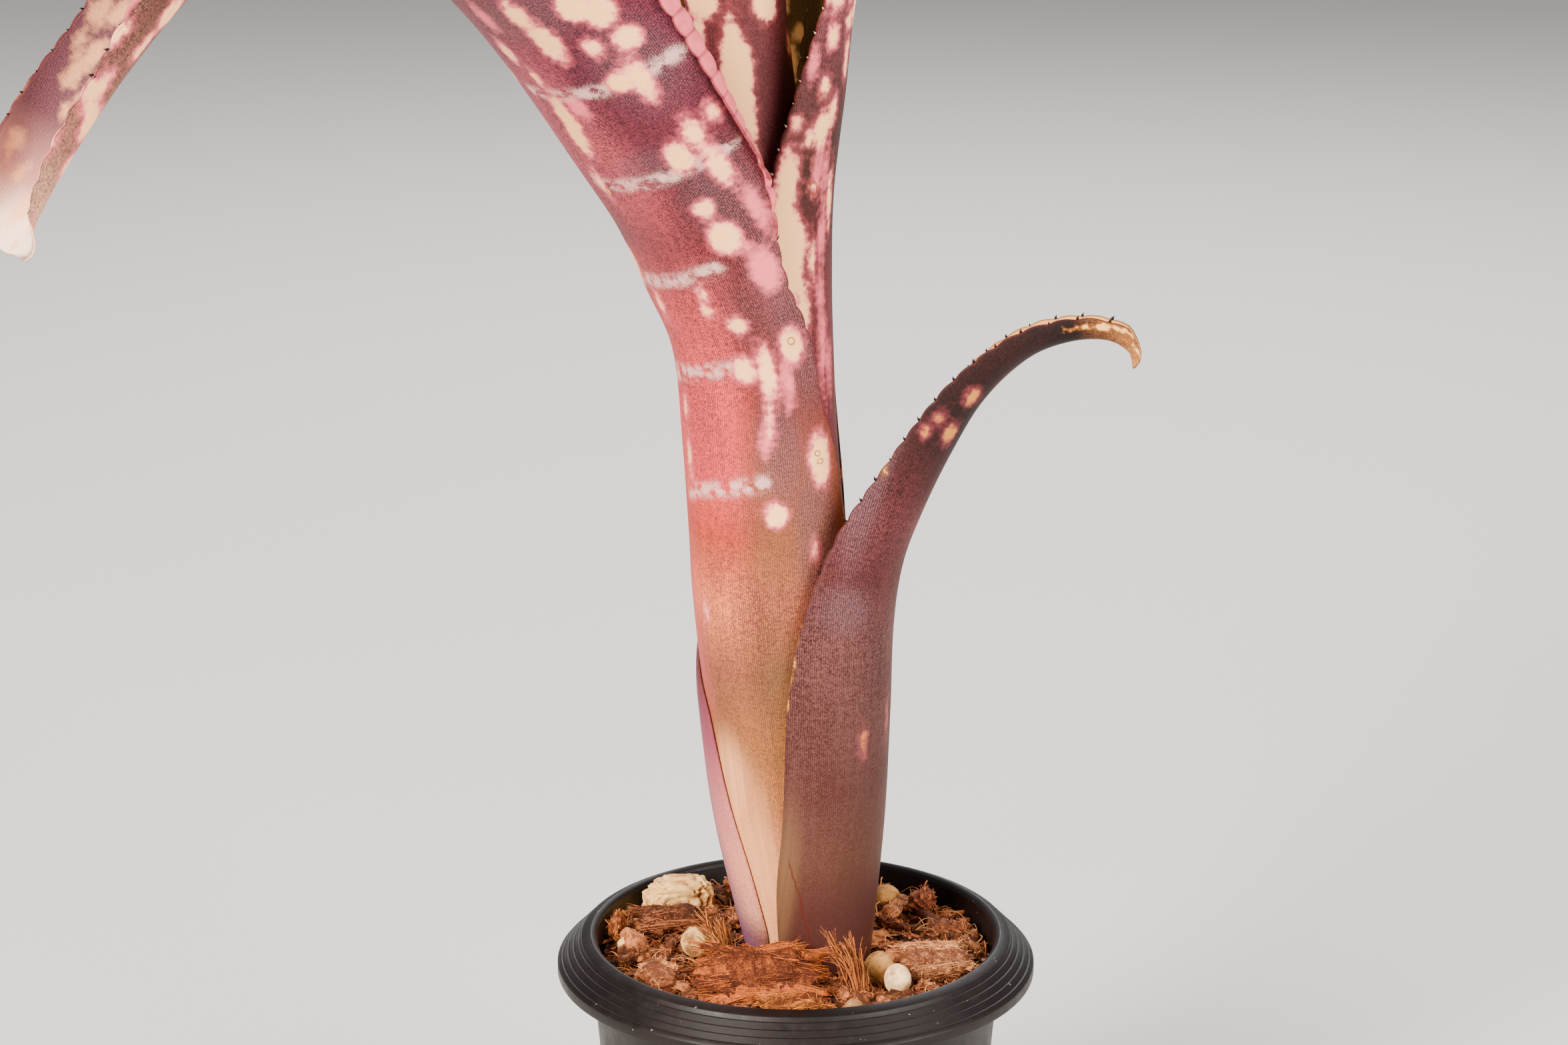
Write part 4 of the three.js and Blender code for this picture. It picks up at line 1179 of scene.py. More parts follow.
def centred_noise(shade, place, rate, detail=1):
    return shade.less(shade.noise(place, rate, detail, 0.5), 0.5)


def layered(shade, layers, weights):
    """The sum of layers times their weights; "base" is a number on its own."""
    return shade.total(*((layers.get(name, 1.0), weight) for name, weight in weights.items()))


def leaf_layers(shade):
    """The fine patterns that a leaf's paint is made from, by name."""
    along, arc = shade.attribute("along"), shade.attribute("arc")
    place = shade.vector(arc, along)
    slow = centred_noise(shade, place, SLOW_RATE, 2)
    stretched = shade.vector(shade.times(arc, MAZE_ACROSS), shade.times(along, MAZE_ALONG))
    maze = centred_noise(shade, stretched, 1)
    rows = shade.math("SINE", shade.total((arc, ROW_RATE), (slow, ROW_WANDER)))
    dots = shade.noise(place, DOT_RATE, 1, 0.6)
    broad = shade.noise(shade.vector(arc, shade.times(along, BROAD_ALONG)), BROAD_RATE, 3, 0.55)
    long_way = shade.vector(shade.times(arc, STREAK_ACROSS), shade.times(along, STREAK_ALONG))
    streak = shade.noise(long_way, STREAK_RATE, 2)
    row_share, dot_share = DOT_SHARES
    return {
        "along": along,
        "arc": arc,
        "slow": slow,
        "lumps": centred_noise(shade, place, LUMP_RATE),
        "mottle": centred_noise(shade, place, MOTTLE_RATE),
        "maze": shade.step(shade.size(maze), *MAZE_LINES),
        "dots": shade.step(shade.total((rows, row_share), (dots, dot_share)), *DOT_FADE),
        "dust": shade.noise(shade.vector(along, arc), DUST_RATE, 1, 0.6),
        "broad": shade.step(broad, *BROAD_FADE),
        "streak": shade.step(streak, *STREAK_FADE),
    }


def crease_line(shade, layers, crease):
    """A thin dark line up a leaf, painted shade of a crease: its arc at the foot, its slope, and where it
    starts and ends.
    """
    arc, slope, low, high = crease
    offset = layered(shade, layers, {"arc": 1.0, "along": slope, "slow": CREASE_WANDER, "base": arc})
    line = shade.less(1, shade.step(shade.size(offset), CREASE_CORE, CREASE_WIDTH))
    start = shade.step(layers["along"], low, low + CREASE_END)
    end = shade.less(1, shade.step(layers["along"], high - CREASE_END, high))
    return shade.times(line, shade.times(start, end))


def ring_line(shade, layers, ring):
    """The brown outline of a small oval: where it is along and round the leaf, and its half sizes."""
    at, side, half_length, half_wide = ring
    x = layered(shade, layers, {"along": 1 / half_length, "slow": RING_WANDER, "base": -at / half_length})
    y = layered(shade, layers, {"arc": 1 / half_wide, "slow": -RING_WANDER, "base": -side / half_wide})
    square = shade.math("ADD", shade.times(x, x), shade.times(y, y))
    off = shade.size(shade.less(shade.math("SQRT", square), 1))
    return shade.less(1, shade.step(off, *RING_FADE))


def painted(shade, tone, share, stops):
    """The paint up a leaf, dark where the tone is 0 and light where it is 1."""
    dark = shade.ramp(share, [(at, low) for at, low, _ in stops])
    light = shade.ramp(share, [(at, high) for at, _, high in stops])
    return shade.mix(tone, dark, light)


def leaf_skin(shade, palette, layers, share):
    """The wine-coloured outer skin, with painted shade on its far side, a painted sheen, soft haze and
    scurf.
    """
    tone = layered(shade, layers, TONE)
    outer = painted(shade, tone, share, palette["near"])
    # Painted shade: the far side gets its darker paint.
    if "far" in palette:
        far = painted(shade, tone, share, palette["far"])
        outer = shade.mix(shade.attribute("far"), outer, far)
    if "pale" in palette:
        pale = shade.times(shade.attribute("pale"), layered(shade, layers, PALENESS))
        outer = shade.mix(pale, outer, palette["pale"])
    if "crease" in palette:
        # Painted shade along a crease.
        outer = shade.mix(crease_line(shade, layers, palette["crease"]), outer, CREASE_SHADE, CREASE_SHARE)
    speckle = layered(shade, layers, SPECKLE)
    haze_dark, haze_light, haze_share = palette.get("haze", HAZE)
    haze = shade.mix(speckle, haze_dark, haze_light)
    outer = shade.mix(shade.attribute("haze"), outer, haze, haze_share)
    # Painted sheen: a pinker band over the front leaf's left silhouette.
    outer = shade.mix(shade.attribute("painted_sheen"), outer, PAINTED_SHEEN, PAINTED_SHEEN_SHARE)
    broken = shade.step(layers["slow"], *BAND_BREAKS)
    dust_share, band_share = GRAIN_SHARES
    band = shade.times(shade.attribute("band"), broken)
    grains = shade.total((layers["dust"], dust_share), (band, band_share))
    return shade.wash(outer, grains, SCURF_FADE, SCURF, SCURF_SHARE)


def leaf_marks(shade, palette, layers, outer, rings):
    """Cream and pink marks with soft pink edges, brown rings and dried crusts, over the skin."""
    wobble = layered(shade, layers, WOBBLE)
    cream, pink, crust = (
        shade.math("ADD", shade.attribute(mark), wobble) for mark in ("cream", "pink", "crust")
    )
    middle, border = palette.get("cream", (CREAM, CREAM_EDGE))
    outer = shade.wash(outer, cream, HALO_FADE, HALO, palette["halo"])
    outer = shade.wash(outer, pink, PINK_FADE, PINK, PINK_SHARE)
    outer = shade.wash(outer, cream, BORDER_FADE, border)
    outer = shade.wash(outer, cream, CREAM_FADE, middle)
    for ring in rings:
        outer = shade.mix(ring_line(shade, layers, ring), outer, RING, RING_SHARE)
    outer = shade.wash(outer, crust, CRUST_EDGE, CRUST_DARK, CRUST_SHARE)
    return shade.wash(outer, crust, CRUST_FADE, CRUST), cream


def lobe_pinkness(shade, layers, teeth_from):
    """How pink the rolled margin is: more so on its lobes."""
    phase = {"along": math.pi / TOOTH_PITCH, "base": -math.pi * teeth_from / TOOTH_PITCH}
    lobe = shade.size(shade.math("SINE", layered(shade, layers, phase)))
    return shade.total((shade.step(lobe, *LOBE_FADE), 0.5), (layers["slow"], 1.2), (1.0, 0.4))


def leaf_material(name, leaf, length):
    palette = PALETTES[name]
    shade = Shader(name + "_skin", roughness=0.55, specular=0.14)
    layers = leaf_layers(shade)
    share = shade.math("DIVIDE", layers["along"], length)
    outer = leaf_skin(shade, palette, layers, share)
    outer, cream = leaf_marks(shade, palette, layers, outer, leaf.get("rings", ()))
    specks, spots = palette["inner_marks"]
    face = shade.ramp(share, palette["inner"])
    face = shade.mix(layers["dots"], face, specks, INNER_DOTS)
    face = shade.wash(face, cream, INNER_FADE, spots, INNER_SHARE)
    colour = shade.mix(shade.attribute("inside"), outer, face)
    pinkness = lobe_pinkness(shade, layers, leaf["teeth_from"])
    colour = shade.mix(shade.attribute("strip"), colour, shade.mix(pinkness, STRIP_DARK, STRIP_LIGHT))
    margin = shade.less(1, shade.step(shade.attribute("edge"), *MARGIN_FADE))
    colour = shade.mix(margin, colour, MARGIN_DARK, MARGIN_SHARE)
    colour = shade.mix(shade.attribute("tooth"), colour, palette["tooth"])
    return shade.finish(colour, layered(shade, layers, RELIEF), LEAF_BUMP)


def make_leaves():
    for index, (name, leaf) in enumerate(LEAVES.items()):
        random = np.random.default_rng(SEED + index)
        piece = leaf_mesh(name, leaf, random)
        dress(piece, leaf_material(name, leaf, float(spine_of(leaf)["length"])), [name])


# Fibres

def tubes(paths, radii, tones):
    """Closed thin tubes, one along each path, as points, faces and tones."""
    count, steps, _ = paths.shape
    tangent = unit(np.gradient(paths, axis=1))
    reference = np.where(np.abs(tangent[..., 2:3]) > STEEP, [1.0, 0, 0], [0, 0, 1.0])
    first = unit(np.cross(tangent, reference))
    second = np.cross(tangent, first)
    angle = turns(TUBE_SIDES)
    ring = first[:, :, None] * np.cos(angle)[:, None] + second[:, :, None] * np.sin(angle)[:, None]
    points = (paths[:, :, None] + ring * radii[:, :, None, None]).reshape(-1, 3)
    corners = steps * TUBE_SIDES
    faces = []
    for tube in range(count):
        faces += tube_faces(tube * corners, steps, TUBE_SIDES)
    return points, faces, np.repeat(tones, corners)


def rough_waves(random, count, scale):
    """Random waves whose sum roughens a surface: directions times scale, phases and weights."""
    directions = unit(random.normal(size=(count, 3))) * scale * random.uniform(*WAVE_VARIES, (count, 1))
    phases = random.uniform(0, TURN, count)
    return directions, phases, random.uniform(*WAVE_WEIGHT, count) / math.sqrt(count)


def roughness_at(points, waves):
    directions, phases, weights = waves
    return np.sin(points @ directions.T + phases) @ weights


def chip_surface(size, along, angle, waves, least_end):
    """Places on a ragged husk chip: along runs from -1 to 1 and angle goes round it."""
    length, width, height = size
    broad, narrow = waves
    end = np.maximum(np.sqrt(np.clip(1 - np.abs(along) ** CHIP_END_POWER, 0, 1)), least_end)
    y, z = (np.sign(side) * np.abs(side) ** CHIP_SQUARENESS for side in (np.cos(angle), np.sin(angle)))
    places = np.stack([length * along / 2, width * y * end / 2, height * z * end / 2], -1)
    lumps, grain = roughness_at(places, broad), roughness_at(places, narrow)
    places[..., 1:] *= (CHIP_FILL + CHIP_LUMPS * lumps + CHIP_GRAIN * grain)[..., None]
    places[..., 0] *= 1 - CHIP_LUMPS * roughness_at(places[..., [1, 2, 0]], broad) * np.abs(along)
    return places


def chip_body(size, waves, steps, around):
    """The closed lumpy body of a chip."""
    along = np.linspace(-1, 1, steps)[:, None] * np.ones(around)
    angle = turns(around)[None, :] + 0 * along
    points = chip_surface(size, along, angle, waves, CHIP_BLUNT_END).reshape(-1, 3)
    level, swing = BODY_TONE
    return points, tube_faces(0, steps, around), level + swing * roughness_at(points, waves[1])


def chip_fibres(size, waves, count, random):
    """Fibres that run along a chip's skin, some of which fray past its ends."""
    t = np.linspace(-1, 1, FIBRE_STEPS)[None, :]
    reach = random.uniform(*FIBRE_REACH, (count, 1)) * random.choice(FIBRE_LONGER, (count, 1))
    middle = random.uniform(-CHIP_REACH, CHIP_REACH, (count, 1))
    along = np.clip(middle + reach * t, -FRAY, FRAY)
    drift = random.normal(0, FIBRE_SPREAD, (count, 1)) * reach * t
    sway = random.normal(0, FIBRE_SWAY, (count, FIBRE_STEPS)).cumsum(axis=1)
    angle = random.uniform(0, TURN, (count, 1)) + drift + sway
    paths = chip_surface(size, along, angle, waves, CHIP_FIBRE_END)
    outward = paths * [0, 1, 1]
    outward = outward / (np.linalg.norm(outward, axis=-1, keepdims=True) + NEAR_AXIS)
    past = np.maximum(np.abs(along) - FRAY_FROM, 0) * size[0]
    strays = random.uniform(0, 1, (count, 1)) < STRAY_FIBRES
    stray = np.where(strays, random.uniform(*STRAY_LIFT, (count, 1)), 0) * t ** 2
    lift = random.uniform(0, FIBRE_LIFT, (count, 1)) + stray + past * random.normal(*FRAY_LIFT, (count, 1))
    paths = paths + outward * lift[..., None]
    radii = FIBRE_THIN + FIBRE_THICKER * random.uniform(0, 1, (count, 1)) ** 2
    level, swing, spread = FIBRE_TONE
    tones = level + swing * roughness_at(paths.mean(axis=1), waves[0]) + random.normal(0, spread, count)
    return tubes(paths, radii * (1 - 0.5 * np.abs(t) ** 3), np.clip(tones, 0, 1))


def chip_pith(size, waves, count, random):
    """Short crumbly fibres that point every way on a chip's skin."""
    along = random.uniform(-CHIP_REACH, CHIP_REACH, (count, 1))
    angle = random.uniform(0, TURN, (count, 1))
    start = chip_surface(size, along, angle, waves, CHIP_BLUNT_END)
    heading, bend = (unit(random.normal(size=(count, 1, 3))) for _ in range(2))
    t = np.linspace(-0.5, 0.5, PITH_STEPS)[None, :, None]
    length = random.uniform(*PITH_LENGTH, (count, 1, 1))
    paths = start + length * (t * heading + PITH_BEND * t ** 2 * bend)
    radii = random.uniform(*PITH_RADIUS, (count, 1)) * np.ones(PITH_STEPS)
    return tubes(paths, radii, random.uniform(*PITH_TONE, count))


def chip_parts(size, count, random, steps, around):
    """A chip's points, faces and tones: its body, the fibres along it and its pith."""
    waves = [rough_waves(random, *kind) for kind in (BROAD_WAVES, NARROW_WAVES)]
    pith = chip_pith(size, waves, round(count * PITH_SHARE), random)
    fibres = chip_fibres(size, waves, count, random)
    return join([chip_body(size, waves, steps, around), fibres, pith])


def join(parts):
    """One list of points, faces and tones out of several (points, faces, tones)."""
    points, faces, tones, start = [], [], [], 0
    for part_points, part_faces, part_tones in parts:
        points.append(part_points)
        faces += [tuple(start + corner for corner in face) for face in part_faces]
        tones.append(part_tones)
        start += len(part_points)
    return np.vstack(points), faces, np.concatenate(tones)


def husk_material(name, light, dark):
    shade = Shader(name, roughness=0.85, specular=0.2)
    place = shade.place()
    grain = shade.noise(place, *HUSK_GRAIN)
    patch = shade.noise(place, *HUSK_PATCH)
    tone = shade.total(
        (shade.attribute("tone"), HUSK_TONE), (grain, HUSK_GRAIN_SHARE),
        (patch, HUSK_PATCH_SHARE), (1.0, HUSK_BASE),
    )
    colour = shade.wash(dark, tone, (0, 1), light)
    return shade.finish(colour, shade.noise(place, *HUSK_RELIEF), HUSK_BUMP)


def make_husk(name, parts, husk, replaced=(), smooth_shaded=True):
    """A piece of husk out of its points, faces and tones, and its material's name, light and dark."""
    points, faces, tones = parts
    piece = make_object(name, points, faces, {"tone": tones}, smooth_shaded)
    dress(piece, husk_material(*husk), replaced)


def strand_parts(room, piece, random):
    """A chip as a bundle of ragged strands that fills the room and runs along its first measure."""
    room, strands, parts = np.array(room), piece["strands"], []
    for index in range(strands):
        size = room * [random.uniform(*share) for share in (STRAND_LENGTH, STRAND_WIDTH, STRAND_HEIGHT)]
        fibres = round(piece["fibres"] / strands)
        points, faces, tones = chip_parts(size, fibres, random, STRAND_STEPS, STRAND_AROUND)
        points = turned(points, random.normal(0, STRAND_SPREAD), random.normal(0, STRAND_TILT))
        across = 2 * (index + 0.5) / strands - 1
        points += (room - size) / 2 * [random.uniform(-1, 1), across, random.uniform(-1, 1)]
        parts.append((points, faces, np.clip(tones + random.normal(0, STRAND_TONE), 0, 1)))
    core, faces, tones = chip_parts(room * CORE_SIZE, CORE_FIBRES, random, CHIP_STEPS, CHIP_AROUND)
    return join(parts + [(core, faces, tones * CORE_TONE)])


def make_chips():
    for index, (name, piece) in enumerate(named(HUSK_KEYS, HUSK)):
        random = np.random.default_rng(SEED + CHIP_SEEDS + index)
        upright = name in UPRIGHT_GRAIN
        room = piece["size"][::-1] if upright else piece["size"]
        points, faces, tones = strand_parts(room, piece, random)
        if upright:
            points = points[:, [2, 1, 0]] * [-1, 1, 1]
        points = turned(points, piece["yaw"], piece["tilt"]) + np.array(piece["at"])
        husk = (name + "_husk", piece["light"], piece["dark"])
        make_husk(name + "_fibres", (points, faces, tones), husk, [name])


def make_flakes():
    """Middling chips that lie about on the bed of mix."""
    random = np.random.default_rng(SEED + FLAKE_SEED)
    parts = []
    for x, y in zip(*bed_places(random, FLAKES, FLAKE_NEAREST, FLAKE_FURTHEST)):
        length = random.uniform(*FLAKE_LENGTH)
        size = length * np.array([1, random.uniform(*FLAKE_WIDTH), random.uniform(*FLAKE_HEIGHT)])
        points, faces, tones = chip_parts(size, FLAKE_FIBRES, random, FLAKE_STEPS, FLAKE_AROUND)
        points = turned(points, random.uniform(0, 360), random.normal(0, FLAKE_TILT))
        points += [x, y, mix_height(x, y) + random.uniform(*FLAKE_RISE)]
        parts.append((points, faces, np.clip(tones + random.normal(0, FLAKE_TONE), 0, 1)))
    make_husk("mix_flakes", join(parts), FLAKE_HUSK)


def tuft_paths(piece, random):
    """Fibres of a torn husk sheet that stands on end: narrow at the foot, bent and curled above."""
    count = piece["fibres"]
    climb = np.linspace(0, 1, TUFT_STEPS)[None, :]
    share, depth = (random.uniform(-0.5, 0.5, (count, 1)) for _ in range(2))
    stray = np.where(random.uniform(0, 1, (count, 1, 1)) < STRAY_SHARE, STRAY_SWAY, TUFT_SWAY)
    sway = stray * random.normal(0, 1, (count, 2, TUFT_STEPS)).cumsum(axis=2)
    bent = np.maximum(climb - TUFT_CURL_FROM, 0)
    curl = random.normal(*TUFT_CURL, (count, 1)) * bent / (1 - TUFT_CURL_FROM)
    lean_x, lean_y = piece["lean"]
    ridge = TUFT_RIDGE * np.cos(TURN * share)
    x = share * (TUFT_FOOT + piece["spread"] * climb) + lean_x * climb ** TUFT_BEND + sway[:, 0] + curl
    thick, thicker = TUFT_DEPTH
    y = depth * (thick + thicker * climb) + lean_y * climb ** 2 - ridge * climb + sway[:, 1]
    torn = TORN_LEVEL + TORN_WAVE * np.sin(TORN_RATE * share + depth) - TORN_SLOPE * share
    z = piece["height"] * torn * random.uniform(TORN_SHORTEST, 1, (count, 1)) * climb
    foot, taper = TUFT_TAPER
    radii = random.uniform(*TUFT_FIBRE, (count, 1)) * (foot - taper * climb)
    return np.stack([x, y, z], -1) + np.array(piece["at"]), radii


def make_tufts():
    for index, (name, piece) in enumerate(named(TUFTS_KEYS, TUFTS)):
        random = np.random.default_rng(SEED + TUFT_SEEDS + index)
        paths, radii = tuft_paths(piece, random)
        parts = tubes(paths, radii, random.uniform(*TUFT_TONE, len(paths)))
        husk = (name + "_husk", piece["light"], piece["dark"])
        make_husk(name + "_fibres", parts, husk, [name])


# Stones

def worn_block(points, ball, random):
    """A pumice block out of a rough ball: squarer, with flat facets and small pits."""
    points = np.sign(points) * np.abs(2 * points) ** BLOCK_POWER / 2
    for _ in range(FACETS):
        facet = unit(random.normal(size=3))
        over = np.maximum(points @ facet - random.uniform(*FACET_AT), 0)
        points = points - over[:, None] * facet * FACET_CUT
    for _ in range(PITS):
        pit = unit(random.normal(size=3)) / 2
        away = np.linalg.norm(ball - pit, axis=1) / random.uniform(*PIT_RADIUS)
        points = points * (1 - PIT_DEPTH * np.exp(-away ** 2))[:, None]
    return points


def stone_points(piece, ball, random):
    """A pebble or a pumice block out of the points of a ball of radius one half."""
    swell = np.ones(len(ball))
    for octave in range(OCTAVES):
        for _ in range(OCTAVE_WAVES):
            axis = unit(random.normal(size=3))
            phase = random.uniform(0, TURN)
            wave = np.sin(FIRST_WAVE * 2 ** octave * (ball @ axis) + phase)
            swell += piece["rough"] * OCTAVE_FADE ** octave * wave / 2
    points = ball * swell[:, None]
    if piece["kind"] == "pumice":
        points = worn_block(points, ball, random)
    reach = np.abs(points).max(axis=0) * 2
    points = points / reach * np.array(piece["size"]) * STONE_FIT
    return turned(points, piece["yaw"]) + np.array(piece["at"])


def stone_material(name, piece):
    shade = Shader(name + "_rock", roughness=0.8, specular=0.3)
    place = shade.place()
    mottle = shade.noise(place, *ROCK_MOTTLE)
    specks = shade.step(shade.noise(place, *ROCK_SPECKS), *ROCK_SPECK_FADE)
    colour = shade.wash(piece["dark"], mottle, ROCK_MOTTLE_FADE, piece["light"])
    colour = shade.mix(specks, colour, piece["dark"], ROCK_SPECK_SHARE)
    return shade.finish(colour, shade.noise(place, *ROCK_RELIEF), ROCK_BUMP)


def unit_ball(detail):
    """Points and faces of a ball of radius one half."""
    bpy.ops.mesh.primitive_ico_sphere_add(subdivisions=detail, radius=0.5)
    model = bpy.context.object
    ball = np.array([corner.co for corner in model.data.vertices])
    faces = [tuple(face.vertices) for face in model.data.polygons]
    bpy.data.objects.remove(model)
    return ball, faces


def make_stones():
    for index, (name, piece) in enumerate(named(STONES_KEYS, STONES)):
        ball, faces = unit_ball(STONE_DETAIL[piece["kind"]])
        random = np.random.default_rng(SEED + STONE_SEEDS + index)
        stone = make_object(name + "_stone", stone_points(piece, ball, random), faces)
        dress(stone, stone_material(name, piece), [name])


# Pot

def rounded(outline, radius=CORNER_ROUND, steps=3):
    """A closed outline with each sharp corner off the axis turned into a small arc."""
    corners = np.asarray(outline, float)
    result = []
    for i, corner in enumerate(corners):
        if corner[0] == 0:
            result.append(tuple(corner))
            continue
        before, after = corners[i - 1] - corner, corners[(i + 1) % len(corners)] - corner
        reach = min(radius, *(ROUND_SHARE * np.linalg.norm(side) for side in (before, after)))
        start, end = corner + unit(before) * reach, corner + unit(after) * reach
        for t in np.linspace(0, 1, steps):
            result.append(tuple((1 - t) ** 2 * start + 2 * t * (1 - t) * corner + t * t * end))
    return result


def pot_outline():
    """The pot's section from the middle of its base, round wall and lip, to the middle of its floor."""
    outer_wall = INNER_EDGE_RADIUS + WALL
    outline = [
        (0, 0), (BASE_RADIUS - BASE_BEVEL, 0), (BASE_RADIUS, BASE_BEVEL),
        (outer_wall, LIP_ROOT), (outer_wall + WALL / 2, LIP_UNDERSIDE),
        (LIP_RADIUS - SKIRT_THICKNESS, SKIRT_TOP - WALL),
        (LIP_RADIUS - SKIRT_THICKNESS / 2, SKIRT_BOTTOM),
        (LIP_RADIUS, SKIRT_BOTTOM + GROOVE_STEP), (LIP_RADIUS, SKIRT_TOP),
    ]
    land_end = POT_HEIGHT - LAND_DROP
    for i in reversed(range(GROOVES)):
        radius = LAND_RADIUS + (i + 0.5) * GROOVE_PITCH
        height = land_end - (i + 0.5) * GROOVE_PITCH
        outline.append((radius + GROOVE_STEP, height - GROOVE_STEP))
        outline.append((radius - GROOVE_STEP / 2, height - GROOVE_DEPTH))
    outline += [
        (LAND_RADIUS, land_end), (CREST_RADIUS, POT_HEIGHT),
        (INNER_EDGE_RADIUS + GROOVE_DEPTH, POT_HEIGHT - GROOVE_DEPTH),
        (INNER_EDGE_RADIUS, INNER_EDGE_HEIGHT), (BASE_RADIUS - WALL, FLOOR + FLOOR_FILLET),
        (BASE_RADIUS - WALL - FLOOR_FILLET, FLOOR), (0, FLOOR),
    ]
    return rounded(outline)


def lathe(outline, sides):
    """Points and faces of an outline that starts and ends on the axis, turned about Z."""
    points = [(0, 0, outline[0][1])]
    for radius, height in outline[1:-1]:
        points += [(radius * math.cos(a), radius * math.sin(a), height) for a in turns(sides)]
    points.append((0, 0, outline[-1][1]))
    rings = len(outline) - 2
    first = 1 + (rings - 1) * sides
    base = [(0, 1 + (k + 1) % sides, 1 + k) for k in range(sides)]
    top = [(first + k, first + (k + 1) % sides, len(points) - 1) for k in range(sides)]
    return points, base + ring_faces(1, rings, sides) + top


def drill_holes(pot):
    """Cuts the ring of drainage holes through the pot's floor."""
    points, faces = [], []
    low, high = -FLOOR, 2 * FLOOR
    column = [(0, low), (DRAIN_HOLE_RADIUS, low), (DRAIN_HOLE_RADIUS, high), (0, high)]
    for turn in turns(DRAIN_HOLES):
        drill_points, drill_faces = lathe(column, DRAIN_SIDES)
        centre = np.array([DRAIN_RING_RADIUS * math.cos(turn), DRAIN_RING_RADIUS * math.sin(turn), 0])
        faces += [tuple(len(points) + corner for corner in face) for face in drill_faces]
        points += (np.array(drill_points) + centre).tolist()
    drill = make_object("drill", points, faces)
    cut = pot.modifiers.new("holes", "BOOLEAN")
    cut.operation = "DIFFERENCE"
    cut.object = drill
    cut.solver = "EXACT"
    bpy.context.view_layer.objects.active = pot
    bpy.ops.object.modifier_apply(modifier=cut.name)
    bpy.data.objects.remove(drill)


def pot_material():
    """Black plastic with a thin film of dust and a few light specks."""
    shade = Shader("black_plastic", roughness=0.5, specular=0.22)
    place = shade.place()
    cloud, specks, film = (shade.noise(place, *kind) for kind in (POT_CLOUD, POT_SPECKS, POT_DUST))
    colour = shade.wash(POT_DARK, cloud, POT_CLOUD_FADE, POT_LIGHT)
    colour = shade.wash(colour, film, POT_DUST_FADE, POT_FILM, POT_DUST_SHARE)
    colour = shade.wash(colour, specks, POT_SPECK_FADE, POT_SPECK, POT_SPECK_SHARE)
    roughness = shade.total((film, POT_ROUGHEST), (1.0, POT_SMOOTHEST))
    return shade.finish(colour, shade.noise(place, *POT_RELIEF), POT_BUMP, roughness)


def make_pot():
    points, faces = lathe(pot_outline(), POT_SIDES)
    pot = make_object("pot_shell", points, faces)
    drill_holes(pot)
    dress(pot, pot_material(), ["pot"])


# Crumbs and loose fibres on the mix

def mix_height(x, y):
    """Height of the bed of mix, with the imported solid's own waves."""
    broad = np.sin(x / RELIEF_WAVE + 1) * np.cos(y / RELIEF_WAVE)
    return MIX_LEVEL + MIX_RELIEF * (broad + 0.5 * np.sin((1.3 * x - y) / RELIEF_WAVE))


def bed_places(random, count, nearest=FOOT_RING, furthest=BED_EDGE):
    """Places spread over the bed between the plant's foot and the pot's wall."""
    radius = np.sqrt(random.uniform(nearest ** 2, furthest ** 2, count))
    angle = random.uniform(0, TURN, count)
    shift = FOOT_X * (furthest - radius) / (furthest - nearest)
    return radius * np.cos(angle) + shift, radius * np.sin(angle)


def spun(shapes, angle, first, second):
    """Each shape's corners turned by its own angle in the plane of two axes."""
    c, s = np.cos(angle)[:, None], np.sin(angle)[:, None]
    a, b = shapes[..., first], shapes[..., second]
    result = shapes.copy()
    result[..., first] = a * c - b * s
    result[..., second] = a * s + b * c
    return result


def crumb_parts(random, x, y, size):
    """Small uneven blocks, one at each place: eight corners each, pushed about."""
    count = len(x)
    corners = np.array([(a, b, c) for a in (-1, 1) for b in (-1, 1) for c in (-1, 1)], float) / 2
    slimness = random.uniform(CRUMB_SLIMMEST, CRUMB_FULLEST, (count, 3))[:, None, :]
    shapes = size[:, None, None] * slimness * corners
    shapes *= random.uniform(*CRUMB_RAGGED, (count, 8, 3))
    turn, lean = random.uniform(0, TURN, count), random.normal(0, CRUMB_LEAN, count)
    shapes = spun(spun(shapes, lean, 1, 2), turn, 0, 1)
    height = mix_height(x, y) + size * random.uniform(0, CRUMB_RISE, count)
    points = shapes + np.stack([x, y, height], -1)[:, None]
    box = [(0, 1, 3, 2), (4, 6, 7, 5), (0, 4, 5, 1), (2, 3, 7, 6), (0, 2, 6, 4), (1, 5, 7, 3)]
    faces = [tuple(8 * n + corner for corner in face) for n in range(count) for face in box]
    return points.reshape(-1, 3), faces, np.repeat(random.uniform(0, 1, count), 8)


def make_crumbs():
    """Crumbs all over the bed, mostly small ones, and a ring of them close to the leaves' foot."""
    random = np.random.default_rng(SEED + CRUMB_SEED)
    x, y = bed_places(random, CRUMBS)
    size = random.uniform(0.5, 1, CRUMBS) ** 3 * CRUMB_SIZE + CRUMB_LEAST
    parts = [crumb_parts(random, x, y, size)]
    x, y = bed_places(random, FOOT_CRUMBS, *FOOT_CRUMB_RING)
    parts.append(crumb_parts(random, x, y, random.uniform(*FOOT_CRUMB_SIZE, FOOT_CRUMBS)))
    make_husk("mix_crumbs", join(parts), CRUMB_HUSK, smooth_shaded=False)


